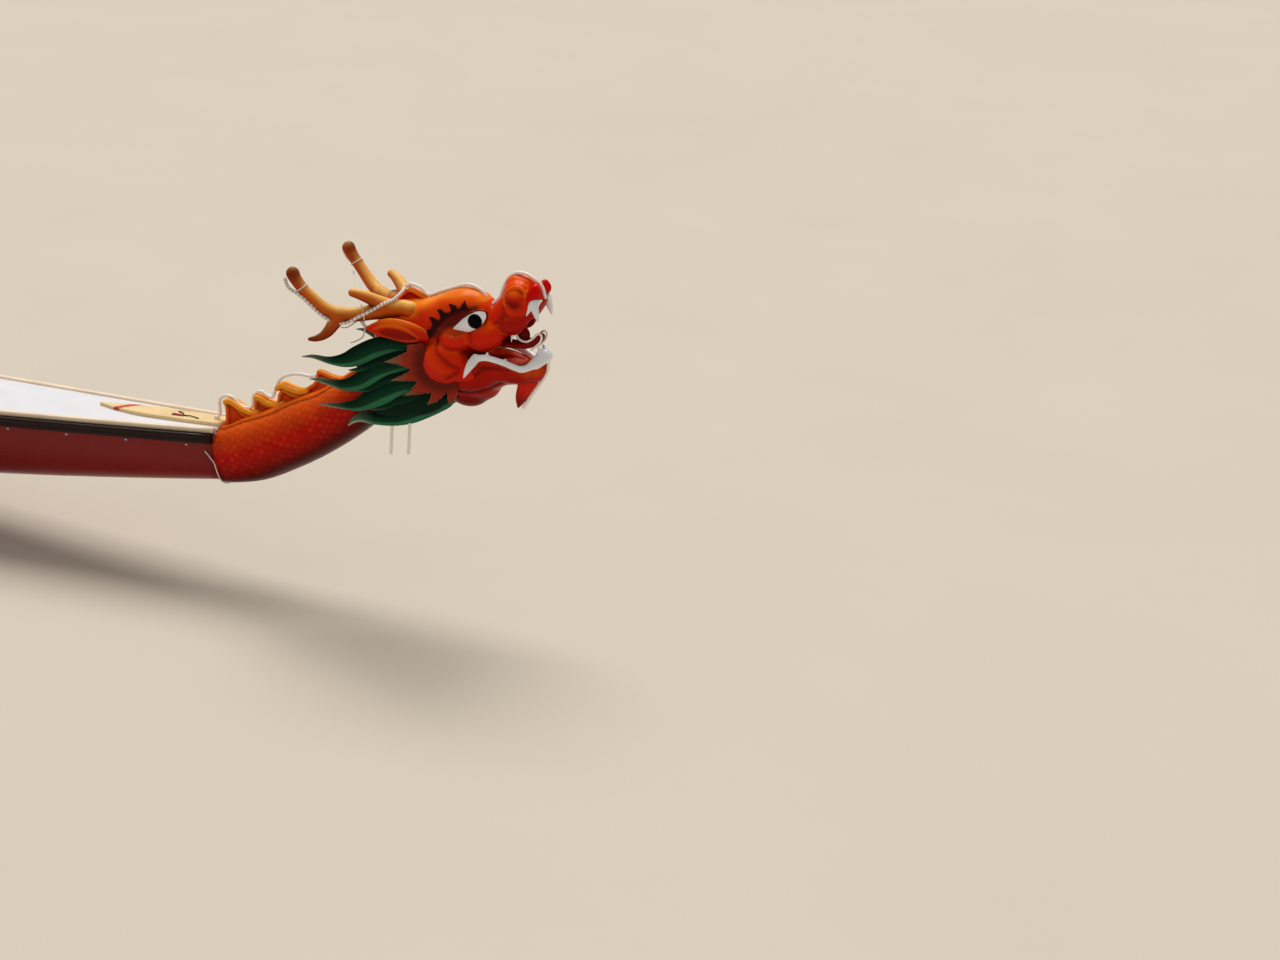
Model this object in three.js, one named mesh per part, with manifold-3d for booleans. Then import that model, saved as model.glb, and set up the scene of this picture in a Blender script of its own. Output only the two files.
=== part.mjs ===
// Dragon boat for twenty paddlers, afloat, with its dragon head, tail and steering oar.
// Millimetres. The origin is on the waterline, amidships, on the centreline.
// +X points to the bow, +Y to port, +Z up.
import * as THREE from "three";
import { mergeVertices } from "three/addons/utils/BufferGeometryUtils.js";
import Module from "manifold-3d";

const wasm = await Module();
wasm.setup();

// Driving dimensions
const HULL_HALF_LENGTH = 7750;
const END_HALF_BEAM = 104;
const MID_HALF_BEAM = 550;
const MID_SHEER = 410;
const END_SHEER = 665;
const MID_KEEL = -80;
const END_KEEL = 430;
const KEEL_POWER = 2.6;
const SECTION_POWER = 2.6;
const FLARE = 0.12;
const WALL = 25;
const GAP = 0.3;

const COCKPIT_END = 5400;
const DECK_ARCH = 60;
const BULKHEAD = 5470;
const DECK_THICKNESS = 10;
const DECK_CAMBER = 60;
const DECK_INSET = 24;

const RAIL_WIDTH = 28;
const RAIL_HEIGHT = 45;
const CAP_INNER = 22;
const CAP_OUTER = 5;
const CAP_HEIGHT = 20;

const THWART_COUNT = 10;
const THWART_SPACING = 800;
const THWART_FIRST = -3500;
const THWART_WIDTH = 200;
const THWART_THICKNESS = 22;
const THWART_DROP = 70;
const POST_RADIUS = 16;
const RISER_WIDTH = 34;
const RISER_HEIGHT = 40;

const RIB_WIDTH = 40;
const RIB_HEIGHT = 22;
const RIB_HALF_SPAN = 300;
const STRINGER_WIDTH = 90;

const SEAT_BASE_X = 6140;
const BOARD_TIP_X = 7110;
const BOARD_HALF_WIDTH = 56;
const BOARD_THICKNESS = 14;

const OAR_PIVOT_X = -6700;
const OAR_PIVOT_Y = 420;
const OAR_PITCH_DEG = 15;
const LOOM_RADIUS = 22;
const BAR_HALF_WIDTH = 45;
const BAR_THICKNESS = 14;
const PIN_RADIUS = 8;
const BORE_RADIUS = 8.6;
const YOKE_BASE_THICKNESS = 14;
const YOKE_EAR_THICKNESS = 12;
const YOKE_INNER_HALF = 30;
const TRUNNION_HEIGHT = 58;

const ROPE_RADIUS = 6.5;

// Colours
const PAINT = {
  hull: [0x8f2020, 0.35],
  deck: [0xe6e4ea, 0.4],
  rail: [0x2e130f, 0.5],
  cap: [0xf4dcb8, 0.45],
  seat: [0xdad8dc, 0.5],
  black: [0x141414, 0.6],
  board: [0xf0d496, 0.55],
  neck: [0xd0300c, 0.35],
  crest: [0xe8782c, 0.4],
  face: [0xd03c10, 0.35],
  lip: [0xc80404, 0.3],
  mouth: [0xc83018, 0.4],
  tooth: [0xeeeeee, 0.3],
  horn: [0xd8944a, 0.45],
  ruff: [0xae4a2c, 0.5],
  mane: [0x0a4a2e, 0.45],
  brow: [0x3c0f0a, 0.5],
  light: [0xf4e2cc, 0.4],
  metal: [0x8c9096, 0.35],
  wood: [0xb98a52, 0.5],
};

const RADIAN = Math.PI / 180;

// Hull lines: every one is a formula of the distance from amidships.
const along = (x) => Math.min(Math.abs(x) / HULL_HALF_LENGTH, 1);
const halfBeam = (x) => END_HALF_BEAM + (MID_HALF_BEAM - END_HALF_BEAM) * (1 - along(x) ** 2);
const sheer = (x) => MID_SHEER + (END_SHEER - MID_SHEER) * along(x) ** 2;
const keel = (x) => MID_KEEL + (END_KEEL - MID_KEEL) * along(x) ** KEEL_POWER;
const camber = (x) => DECK_CAMBER * (halfBeam(x) / halfBeam(COCKPIT_END)) ** 2;
const capTop = (x) => sheer(x) + GAP + CAP_HEIGHT;

// Solids: a THREE.BufferGeometry goes in and out of the boolean library here.
function toSolid(geometry) {
  const bare = geometry.clone();
  bare.deleteAttribute("normal");
  bare.deleteAttribute("uv");
  const merged = mergeVertices(bare, 1e-4);
  return new wasm.Manifold(new wasm.Mesh({
    numProp: 3,
    vertProperties: new Float32Array(merged.attributes.position.array),
    triVerts: new Uint32Array(merged.index.array),
  }));
}

function toGeometry(solid) {
  const mesh = solid.getMesh();
  const geometry = new THREE.BufferGeometry();
  geometry.setAttribute("position", new THREE.BufferAttribute(mesh.vertProperties, 3));
  geometry.setIndex(new THREE.BufferAttribute(mesh.triVerts, 1));
  return geometry;
}

function fuse(solids) {
  return solids.reduce((sum, solid) => sum.add(solid));
}

function largestBody(solid) {
  const bodies = solid.decompose();
  return bodies.reduce((best, body) => (body.volume() > best.volume() ? body : best));
}

// The triangles that close one ring of points, following the ring's own turn.
function capFaces(ring) {
  const normal = new THREE.Vector3();
  ring.forEach((point, k) => {
    const next = ring[(k + 1) % ring.length];
    normal.add(new THREE.Vector3().crossVectors(point, next));
  });
  normal.normalize();
  const across = new THREE.Vector3(0, 0, 1).cross(normal);
  if (across.length() < 0.1) across.set(1, 0, 0).addScaledVector(normal, -normal.x);
  across.normalize();
  const up = new THREE.Vector3().crossVectors(normal, across);
  const flat = ring.map((point) => new THREE.Vector2(point.dot(across), point.dot(up)));
  return THREE.ShapeUtils.triangulateShape(flat, []);
}

// A loft through rings of points that all have the same count and turn the same way.
function loft(rings) {
  const count = rings[0].length;
  const positions = rings.flat().flatMap((point) => [point.x, point.y, point.z]);
  const faces = [];
  for (let ring = 0; ring + 1 < rings.length; ring += 1) {
    for (let k = 0; k < count; k += 1) {
      const a = ring * count + k;
      const b = ring * count + (k + 1) % count;
      faces.push(a, b, b + count, a, b + count, a + count);
    }
  }
  const last = (rings.length - 1) * count;
  capFaces(rings[0]).forEach(([a, b, c]) => faces.push(a, c, b));
  capFaces(rings[rings.length - 1]).forEach(([a, b, c]) => faces.push(last + a, last + b, last + c));
  const geometry = new THREE.BufferGeometry();
  geometry.setAttribute("position", new THREE.Float32BufferAttribute(positions, 3));
  geometry.setIndex(faces);
  const solid = toSolid(geometry);
  if (solid.volume() > 0) return solid;
  for (let k = 0; k < faces.length; k += 3) [faces[k], faces[k + 1]] = [faces[k + 1], faces[k]];
  geometry.setIndex(faces);
  return toSolid(geometry);
}

function box(low, high) {
  const size = high.map((value, k) => value - low[k]);
  const middle = high.map((value, k) => (value + low[k]) / 2);
  return toSolid(new THREE.BoxGeometry(...size).translate(...middle));
}

// A round bar along Z, or along Y when it lies across the boat.
function bar(radius, low, high, sides = 16, across = false) {
  const geometry = new THREE.CylinderGeometry(radius, radius, high - low, sides);
  if (!across) geometry.rotateX(Math.PI / 2);
  return toSolid(across
    ? geometry.translate(0, (low + high) / 2, 0)
    : geometry.translate(0, 0, (low + high) / 2));
}

// A swelling: centre, radii, and turn in degrees about Y (nose up is negative) and Z.
function ball(grow, [x, y, z], [rx, ry, rz], [turnY, turnZ] = [0, 0], sides = 9) {
  const geometry = new THREE.SphereGeometry(1, sides, Math.round(sides * 0.6));
  geometry.scale(rx + grow, ry + grow, rz + grow);
  geometry.rotateY(turnY * RADIAN);
  geometry.rotateZ(turnZ * RADIAN);
  return toSolid(geometry.translate(x, y, z));
}

// A tapering sweep. Each row of the table is x, y, z, half width, half height.
function horn(grow, rows, sides = 6, steps = 1) {
  const curve = new THREE.CatmullRomCurve3(rows.map(([x, y, z]) => new THREE.Vector3(x, y, z)));
  const spans = rows.length - 1;
  const rings = [];
  for (let k = 0; k <= spans * steps; k += 1) {
    const place = k / steps;
    const row = Math.min(Math.floor(place), spans - 1);
    const mix = place - row;
    const wide = rows[row][3] * (1 - mix) + rows[row + 1][3] * mix + grow;
    const high = rows[row][4] * (1 - mix) + rows[row + 1][4] * mix + grow;
    const centre = curve.getPoint(place / spans);
    const ahead = curve.getTangent(place / spans);
    if (k === 0) centre.addScaledVector(ahead, -grow);
    if (k === spans * steps) centre.addScaledVector(ahead, grow);
    const side = new THREE.Vector3(0, 1, 0).addScaledVector(ahead, -ahead.y).normalize();
    const above = new THREE.Vector3().crossVectors(ahead, side);
    rings.push(Array.from({ length: sides }, (_, s) => {
      const angle = ((s + 0.5) / sides) * 2 * Math.PI;
      return centre.clone()
        .addScaledVector(side, wide * Math.cos(angle))
        .addScaledVector(above, high * Math.sin(angle));
    }));
  }
  return loft(rings);
}

const mirrored = (rows) => rows.map(([x, y, ...rest]) => [x, -y, ...rest]);
const bothSides = (make) => [make(1), make(-1)];
const onSide = (side, rows) => (side > 0 ? rows : mirrored(rows));

// A flat plate cut to an outline of x, z points and centred on y.
function plate(outline, thickness, y = 0) {
  const shape = new THREE.Shape(outline.map(([x, z]) => new THREE.Vector2(x, z)));
  const geometry = new THREE.ExtrudeGeometry(shape, { depth: thickness, bevelEnabled: false });
  geometry.rotateX(Math.PI / 2);
  return toSolid(geometry.translate(0, y + thickness / 2, 0));
}

// Pieces are seated in turn: each is cut back by GAP from those that come before it in its list.
function seat(pieces, carriers = []) {
  const before = [...carriers];
  return pieces.map(([name, paint, make]) => {
    let solid = make(0);
    for (const other of before) {
      if (overlaps(solid, other)) solid = solid.subtract(other);
    }
    before.push(make(GAP));
    return [name, paint, largestBody(solid)];
  });
}

function overlaps(a, b) {
  const [first, second] = [a.boundingBox(), b.boundingBox()];
  return [0, 1, 2].every((k) => first.min[k] < second.max[k] && second.min[k] < first.max[k]);
}

function node([name, paint, solid]) {
  const [color, roughness] = PAINT[paint];
  const metalness = paint === "metal" ? 0.9 : 0;
  const material = new THREE.MeshStandardMaterial({ color, roughness, metalness });
  const mesh = new THREE.Mesh(toGeometry(solid), material);
  mesh.name = name;
  return mesh;
}

// Hull stations, closer together towards the ends.
const STATION_COUNT = 28;
const stations = Array.from({ length: STATION_COUNT + 1 }, (_, k) => {
  const u = (2 * k) / STATION_COUNT - 1;
  return HULL_HALF_LENGTH * u * (1.25 - 0.25 * u * u);
});

// Half a hull section from the keel to the sheer, as y, z pairs.
const SECTION_STEPS = 6;
function halfSection(x, inset) {
  const [beam, low, high] = [halfBeam(x) - inset, keel(x) + inset, sheer(x)];
  return Array.from({ length: SECTION_STEPS + 1 }, (_, k) => {
    const angle = (k / SECTION_STEPS) * (Math.PI / 2);
    const rise = 1 - Math.cos(angle) ** (2 / SECTION_POWER);
    const reach = Math.sin(angle) ** (2 / SECTION_POWER);
    return [beam * ((1 - FLARE) * reach + FLARE * rise), low + (high - low) * rise];
  });
}

function hullRing(x, inset, top) {
  const half = halfSection(x, inset);
  const raised = [...half];
  if (top > 0) raised.push([half[SECTION_STEPS][0], sheer(x) + top]);
  const port = raised.map(([y, z]) => new THREE.Vector3(x, y, z));
  const starboard = raised.slice(1).reverse().map(([y, z]) => new THREE.Vector3(x, -y, z));
  return [...port, ...starboard];
}

function hullShell(grow) {
  const outer = loft(stations.map((x) => {
    const end = Math.abs(x) > HULL_HALF_LENGTH - 1 ? Math.sign(x) * grow : 0;
    return hullRing(x, -grow, 0).map((point) => point.clone().setX(x + end));
  }));
  const inside = stations.filter((x) => Math.abs(x) < BULKHEAD);
  const cavity = loft([-BULKHEAD + grow, ...inside, BULKHEAD - grow]
    .map((x) => hullRing(x, WALL + grow, 400)));
  const crowns = [1, -1].map((end) => crown(end, BULKHEAD, -60, grow));
  return fuse([outer.subtract(cavity), ...crowns]);
}

// A cambered slab over one end of the hull, from its inner edge to the hull's end.
const DECK_ACROSS = 6;
function crown(end, from, below, above, arch = 0) {
  const xs = [from, ...stations.filter((x) => x > from + 120 && x < HULL_HALF_LENGTH - 1),
    HULL_HALF_LENGTH - 3];
  return loft(xs.map((x) => {
    const half = halfBeam(x) - DECK_INSET;
    const across = Array.from({ length: DECK_ACROSS + 1 }, (_, k) => (2 * k) / DECK_ACROSS - 1);
    const bend = (v) => (x === from ? x + arch * (1 - v * v) : x);
    const topZ = (v) => sheer(x) + above + camber(x) * (1 - v * v);
    const lowZ = (v) => (below < 0 ? sheer(x) + below : sheer(x) + below + camber(x) * (1 - v * v));
    const upper = across.map((v) => new THREE.Vector3(end * bend(v), half * v, topZ(v)));
    const lower = across.map((v) => new THREE.Vector3(end * bend(v), half * v, lowZ(v))).reverse();
    return [...upper, ...lower];
  }));
}

const deck = (end) => (grow) =>
  crown(end, COCKPIT_END - grow, GAP - grow, GAP + DECK_THICKNESS + grow, DECK_ARCH);

// A strip along the sheer on one side: its section is inner y, outer y, low z and high z.
function sheerStrip(side, inner, outer, low, high, grow = 0) {
  const run = stations.map((x, k) => (k === 0 || k === STATION_COUNT ? x * 0.9995 : x));
  return loft(run.map((x) => {
    const beam = halfBeam(x);
    const edges = [
      [beam + inner - grow, sheer(x) + low - grow],
      [beam + outer + grow, sheer(x) + low - grow],
      [beam + outer + grow, sheer(x) + high + grow],
      [beam + inner - grow, sheer(x) + high + grow],
    ];
    return edges.map(([y, z]) => new THREE.Vector3(x, side * y, z));
  }));
}

const rail = (side) => (grow) =>
  sheerStrip(side, 2 * GAP, RAIL_WIDTH, -RAIL_HEIGHT, -1, grow);
const cap = (side) => (grow) =>
  sheerStrip(side, -CAP_INNER, CAP_OUTER, GAP, GAP + CAP_HEIGHT, grow);

// Inside of the hull
const thwartXs = Array.from({ length: THWART_COUNT }, (_, k) => THWART_FIRST + k * THWART_SPACING);

const thwart = (x) => (grow) => {
  const top = sheer(x) - THWART_DROP + grow;
  const reach = halfBeam(x) - WALL / 2;
  const half = THWART_WIDTH / 2 + grow;
  const low = top - THWART_THICKNESS - 2 * grow;
  const bench = box([x - half, -reach, low], [x + half, reach, top]);
  const post = bar(POST_RADIUS + grow, keel(x), low + 5, 12).translate([x, 0, 0]);
  return bench.add(post);
};

const riser = (side) => (grow) => {
  const run = stations.filter((x) => Math.abs(x) < BULKHEAD - 300);
  return loft(run.map((x) => {
    const top = sheer(x) - THWART_DROP - THWART_THICKNESS + GAP + 3 + grow;
    const outer = halfBeam(x) - WALL / 2;
    const inner = outer - WALL / 2 - RISER_WIDTH - grow;
    const low = top - RISER_HEIGHT - grow;
    return [[inner, low], [outer, low], [outer, top], [inner, top]]
      .map(([y, z]) => new THREE.Vector3(x, side * y, z));
  }));
};

// A stringer along the bottom with one foot rib ahead of each thwart.
const footFrame = (grow) => {
  const run = [...stations.filter((x) => x > THWART_FIRST - 300 && x < 4900)];
  const stringer = loft(run.map((x) => {
    const [low, high] = [keel(x) - 5, keel(x) + WALL + RIB_HEIGHT + grow];
    const half = STRINGER_WIDTH / 2 + grow;
    return [[-half, low], [half, low], [half, high], [-half, high]]
      .map(([y, z]) => new THREE.Vector3(x, y, z));
  }));
  const ribs = thwartXs.map((x) => {
    const at = x + THWART_SPACING / 2;
    const low = keel(at) + WALL;
    return box([at - RIB_WIDTH / 2, -RIB_HALF_SPAN, low - 5],
      [at + RIB_WIDTH / 2, RIB_HALF_SPAN, low + RIB_HEIGHT + 14]);
  });
  return fuse([stringer, ...ribs]);
};

// Drummer's seat base and the head's mounting board, on the bow deck
const seatBase = () => {
  const z = sheer(SEAT_BASE_X) + camber(SEAT_BASE_X);
  const foot = box([SEAT_BASE_X - 170, -105, z - 10], [SEAT_BASE_X + 170, 105, z + 28]);
  const block = box([SEAT_BASE_X - 145, -65, z + 20], [SEAT_BASE_X + 145, 65, z + 75]);
  return foot.add(block);
};

const boardTop = (x) => sheer(x) + camber(x) + DECK_THICKNESS + BOARD_THICKNESS;
const board = () => {
  const rows = [[BOARD_TIP_X, 3], [BOARD_TIP_X + 90, 30], [BOARD_TIP_X + 200, 50],
    [BOARD_TIP_X + 330, BOARD_HALF_WIDTH], [HULL_HALF_LENGTH - GAP, BOARD_HALF_WIDTH - 4]];
  return loft(rows.map(([x, half]) => {
    const high = boardTop(x);
    const low = high - BOARD_THICKNESS - 8;
    return [[-half, low], [half, low], [half, high], [-half, high]]
      .map(([y, z]) => new THREE.Vector3(x, y, z));
  }));
};

// Bow figure, measured from the hull's bow end. Tables: x, y, z, half width, half height.
const NECK = [
  [1, 0, 554, 105, 122], [60, 0, 562, 110, 126], [170, 0, 602, 120, 140], [300, 0, 670, 124, 140],
  [440, 0, 750, 122, 134], [590, 0, 848, 116, 122], [730, 0, 965, 108, 115], [840, 0, 1075, 102, 114],
  [900, 0, 1150, 96, 106],
];
// What grows from the hull starts clear of its flat end.
const clearOfHullEnd = (solid) => solid.subtract(box([-400, -400, 0], [GAP, 400, 1500]));
const neck = (grow) => clearOfHullEnd(horn(grow, NECK, 12));

// The crest's outline over the neck: x, z, with a step up at the back of each fin.
const NECK_CREST = [
  [4, 600], [4, 770], [-12, 788], [16, 796], [52, 782], [90, 752], [128, 752], [140, 762],
  [144, 822], [164, 830], [206, 812], [240, 812], [256, 836], [264, 872], [290, 898], [330, 880],
  [380, 884], [404, 920], [440, 955], [448, 1006], [566, 992], [680, 1060], [760, 1100], [760, 900],
  [400, 700],
];
const neckCrest = () => plate(NECK_CREST, 36);

const SKULL_BALLS = [
  [[950, 0, 1258], [232, 110, 118], [-14, 0]],
  [[1080, 0, 1150], [160, 104, 120], [0, 0]],
  [[1392, 0, 1486], [64, 48, 58], [-10, 0]],
];
const SKULL_SIDE_BALLS = [
  [[1150, 40, 1330], [128, 58, 80], [-22, -10]],
  [[1092, 96, 1156], [102, 58, 88], [0, 0]],
  [[1140, 90, 1264], [68, 48, 46], [-10, 0]],
  [[1268, 62, 1290], [78, 44, 58], [-32, -8]],
  [[1386, 46, 1362], [60, 40, 44], [-42, -8]],
  [[1388, 36, 1468], [62, 46, 64], [-20, 0]],
  [[1400, 54, 1438], [68, 34, 50], [-32, 0]],
];
const CROWN = [
  [860, 0, 1312, 80, 54], [920, 0, 1328, 86, 54], [968, 0, 1338, 90, 51], [1023, 0, 1352, 94, 59],
  [1080, 0, 1366, 96, 71], [1127, 0, 1376, 96, 80], [1165, 0, 1380, 92, 81],
  [1200, 0, 1378, 84, 68], [1232, 0, 1372, 66, 40], [1250, 0, 1366, 44, 18],
];
const BRIDGE = [
  [1130, 0, 1320, 92, 84], [1245, 0, 1330, 78, 56], [1285, 0, 1360, 72, 56],
  [1325, 0, 1413, 64, 62], [1370, 0, 1456, 58, 60],
];
const UPPER_JAW = [
  [1180, 0, 1255, 100, 62], [1300, 0, 1302, 82, 52], [1345, 0, 1337, 76, 50],
  [1384, 0, 1374, 72, 52], [1442, 0, 1428, 62, 38], [1472, 0, 1458, 48, 26],
];
const skull = (grow) => fuse([
  ...SKULL_BALLS.map((row) => ball(grow, ...row)),
  ...SKULL_SIDE_BALLS.flatMap(([[x, y, z], radii, [turnY, turnZ]]) => [
    ball(grow, [x, y, z], radii, [turnY, turnZ]),
    ball(grow, [x, -y, z], radii, [turnY, -turnZ]),
  ]),
  horn(grow, CROWN, 10),
  horn(grow, BRIDGE, 10),
  horn(grow, UPPER_JAW, 10),
]);

const LOWER_JAW = [
  [1090, 0, 1095, 104, 75], [1200, 0, 1090, 102, 70], [1280, 0, 1112, 93, 58],
  [1340, 0, 1130, 87, 50], [1400, 0, 1142, 78, 46], [1452, 0, 1160, 62, 44],
  [1478, 0, 1176, 44, 34],
];
const JAW_LIP = [
  [1180, 92, 1140], [1240, 99, 1178], [1300, 95, 1182], [1370, 87, 1170], [1425, 74, 1152],
  [1462, 56, 1172], [1482, 36, 1194], [1490, -6, 1200],
].map((place) => [...place, 15, 15]);
const lowerJaw = (grow) => fuse([
  horn(grow, LOWER_JAW, 10),
  ...bothSides((side) => horn(grow, onSide(side, JAW_LIP))),
  ball(grow, [1178, 0, 1046], [92, 66, 68]),
  ball(grow, [1458, 0, 1164], [42, 50, 46]),
]);

// Lip and tooth rows run from the corner of the mouth to just past the centreline, on each side.
const LIP = [
  [1430, 72, 1458, 7, 10], [1456, 60, 1474, 13, 18], [1478, 34, 1490, 22, 29],
  [1480, -6, 1486, 22, 24],
];
const upperLip = (grow) => fuse(bothSides((side) => horn(grow, onSide(side, LIP))));

const UPPER_TEETH = [
  [1446, 64, 1438, 9, 16], [1470, 62, 1450, 12, 22], [1488, 50, 1456, 12, 22],
  [1500, 24, 1450, 11, 19], [1502, -6, 1448, 10, 18],
];
const FANG = [
  [1474, 60, 1452, 17, 24], [1484, 62, 1428, 14, 17], [1493, 63, 1405, 9, 10], [1500, 63, 1385, 3, 3],
];
const SIDE_TOOTH = [[1454, 64, 1432, 10, 14], [1447, 66, 1412, 6, 8], [1441, 66, 1392, 3, 3]];
const upperTeeth = (grow) => fuse([
  ...bothSides((side) => horn(grow, onSide(side, UPPER_TEETH), 6)),
  ...bothSides((side) => horn(grow, onSide(side, FANG), 6)),
  ...bothSides((side) => horn(grow, onSide(side, SIDE_TOOTH), 6)),
]);

const LOWER_TEETH = [
  [1234, 106, 1200, 8, 15], [1290, 103, 1213, 8, 14], [1330, 99, 1208, 8, 13],
  [1370, 92, 1199, 8, 14], [1405, 84, 1186, 9, 15], [1432, 74, 1180, 10, 16],
  [1458, 60, 1194, 10, 19], [1482, 42, 1212, 11, 23], [1497, -6, 1225, 10, 24],
];
const FRONT_TOOTH = [[1480, 38, 1230, 13, 16], [1483, 40, 1252, 10, 12], [1484, 40, 1276, 3, 3]];
const TUSK = [
  [1242, 108, 1204, 12, 20], [1227, 120, 1180, 13, 18], [1213, 128, 1150, 8, 11],
  [1200, 131, 1120, 3, 3],
];
const lowerTeeth = (grow) => fuse([
  ...bothSides((side) => horn(grow, onSide(side, LOWER_TEETH), 6)),
  ...bothSides((side) => horn(grow, onSide(side, FRONT_TOOTH), 6)),
  ...bothSides((side) => horn(grow, onSide(side, TUSK), 6)),
]);

const TONGUE = [
  [1230, 0, 1196, 58, 14], [1300, 0, 1198, 62, 18], [1350, 0, 1210, 58, 26],
  [1385, 0, 1234, 46, 32], [1412, 0, 1252, 38, 22], [1440, 0, 1270, 32, 22],
  [1466, 0, 1292, 24, 22], [1480, 0, 1303, 16, 14],
];
const tongue = (grow) => fuse([
  horn(grow, TONGUE),
  ball(grow, [1398, 0, 1303], [33, 11, 36]),
]);

const BEARD = [
  [1432, 0, 1138, 34, 50], [1416, 0, 1085, 28, 34], [1398, 0, 1035, 19, 24], [1386, 0, 992, 4, 5],
];
const beard = (grow) => horn(grow, BEARD);

const eye = (side) => (grow) =>
  ball(grow, [1203, side * 78, 1350], [82, 30, 38], [-25, side * -6], 12);

// Eyebrow: a serrated band over the eye. Columns: x, y, z, half width, half height.
const BROW = [
  [1005, 104, 1252, 9, 14], [1040, 102, 1290, 9, 20], [1078, 99, 1334, 9, 20],
  [1120, 96, 1368, 9, 16], [1162, 91, 1390, 8, 12], [1210, 72, 1400, 6, 5],
];
// Columns: x, y, z of the root, then how far the tip lies ahead and up.
const BROW_SPIKES = [
  [1036, 102, 1306, -17, 36], [1072, 99, 1346, -16, 31], [1120, 95, 1380, -14, 25],
  [1163, 90, 1396, 2, 33],
];
const brow = (side) => (grow) => fuse([
  horn(grow, onSide(side, BROW), 6),
  ...BROW_SPIKES.map(([x, y, z, ahead, up]) => horn(grow, onSide(side, [
    [x, y, z, 9, 16], [x + ahead, y - 5, z + up, 3, 3],
  ]), 4)),
]);

const EAR = [
  [1010, 98, 1258, 14, 22], [985, 110, 1263, 16, 36], [925, 128, 1274, 16, 46],
  [862, 142, 1280, 14, 42], [805, 151, 1272, 9, 25], [760, 157, 1269, 3, 4],
];
const ear = (side) => (grow) => horn(grow, onSide(side, EAR));

const ANTLER = [
  [880, 48, 1352, 33, 33], [770, 112, 1326, 30, 30], [690, 156, 1314, 29, 29],
  [610, 194, 1330, 28, 28], [528, 222, 1396, 25, 25], [482, 229, 1446, 25, 25],
  [465, 229, 1472, 28, 28], [457, 229, 1492, 12, 12],
];
const ANTLER_PRONGS = [
  [[672, 168, 1320, 24, 24], [602, 205, 1256, 20, 20], [560, 230, 1220, 14, 14],
    [534, 241, 1198, 6, 6]],
  [[860, 62, 1340, 30, 30], [792, 114, 1388, 25, 25], [758, 140, 1408, 22, 22],
    [742, 152, 1417, 10, 10]],
];
const antler = (side) => (grow) => fuse([
  horn(grow, onSide(side, ANTLER)),
  ...ANTLER_PRONGS.map((prong) => horn(grow, onSide(side, prong))),
]);

// Ruff: a plate with flame points that stands out behind the cheek, x and z, on each side.
const RUFF = [
  [1010, 1240], [940, 1220], [948, 1196], [893, 1165], [847, 1138], [907, 1133], [963, 1119],
  [917, 1088], [873, 1061], [931, 1065], [991, 1071], [964, 1036], [932, 1000], [992, 1015],
  [1050, 1029], [1043, 998], [1032, 977], [1071, 990], [1096, 1012], [1118, 1036], [1121, 1011],
  [1127, 990], [1150, 1007], [1171, 1024], [1230, 1040], [1230, 1100], [1120, 1130], [1060, 1180],
];
const CHEEK_X = 1092;
const RUFF_THICKNESS = 14;
const RUFF_OUT = 120;
const RUFF_FLARE_DEG = 9;
const ruff = (side) => (grow) => {
  const flat = plate(RUFF, RUFF_THICKNESS + 2 * grow).translate([-CHEEK_X, 0, 0]);
  return flat.rotate([0, 0, side * -RUFF_FLARE_DEG]).translate([CHEEK_X, side * RUFF_OUT, 0]);
};

const MANE_LOCKS = [
  [[965, 96, 1206, 14, 30], [900, 110, 1204, 16, 34], [858, 122, 1202, 19, 40],
    [800, 142, 1184, 20, 44], [733, 163, 1147, 18, 43], [680, 180, 1124, 15, 31],
    [620, 197, 1118, 10, 17], [552, 214, 1128, 6, 9], [505, 226, 1123, 3, 3]],
  [[985, 100, 1142, 14, 34], [925, 112, 1132, 16, 38], [868, 128, 1114, 19, 42],
    [812, 150, 1089, 20, 44], [742, 170, 1040, 17, 38], [684, 184, 1020, 13, 26],
    [620, 195, 1023, 9, 16], [560, 202, 1027, 5, 7], [530, 204, 1025, 3, 3]],
  [[1010, 100, 1078, 14, 34], [957, 112, 1052, 16, 42], [895, 130, 1030, 19, 48],
    [845, 148, 1003, 20, 48], [790, 160, 969, 18, 42], [733, 166, 936, 14, 28],
    [665, 168, 922, 9, 15], [600, 167, 915, 5, 8], [546, 165, 910, 3, 3]],
  [[1120, 74, 1000, 14, 28], [1060, 88, 972, 16, 36], [1005, 100, 944, 18, 40],
    [950, 108, 914, 19, 38], [890, 115, 889, 18, 31], [830, 119, 878, 16, 29],
    [770, 121, 874, 14, 28], [725, 122, 868, 10, 20], [690, 122, 850, 6, 12],
    [664, 122, 822, 3, 3]],
];
const MANE_CORE = [
  [1080, 70, 1010, 30, 40], [960, 84, 1060, 34, 110], [860, 92, 1070, 34, 110],
  [760, 104, 1060, 22, 70],
];
const mane = (side) => (grow) => fuse([
  horn(grow, onSide(side, MANE_CORE)),
  ...MANE_LOCKS.map((lock) => horn(grow, onSide(side, lock))),
]);

const headCrest = () => plate([
  [780, 1320], [838, 1386], [880, 1420], [930, 1410], [975, 1384], [1000, 1340], [1000, 1300],
  [780, 1290],
], 40);

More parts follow.
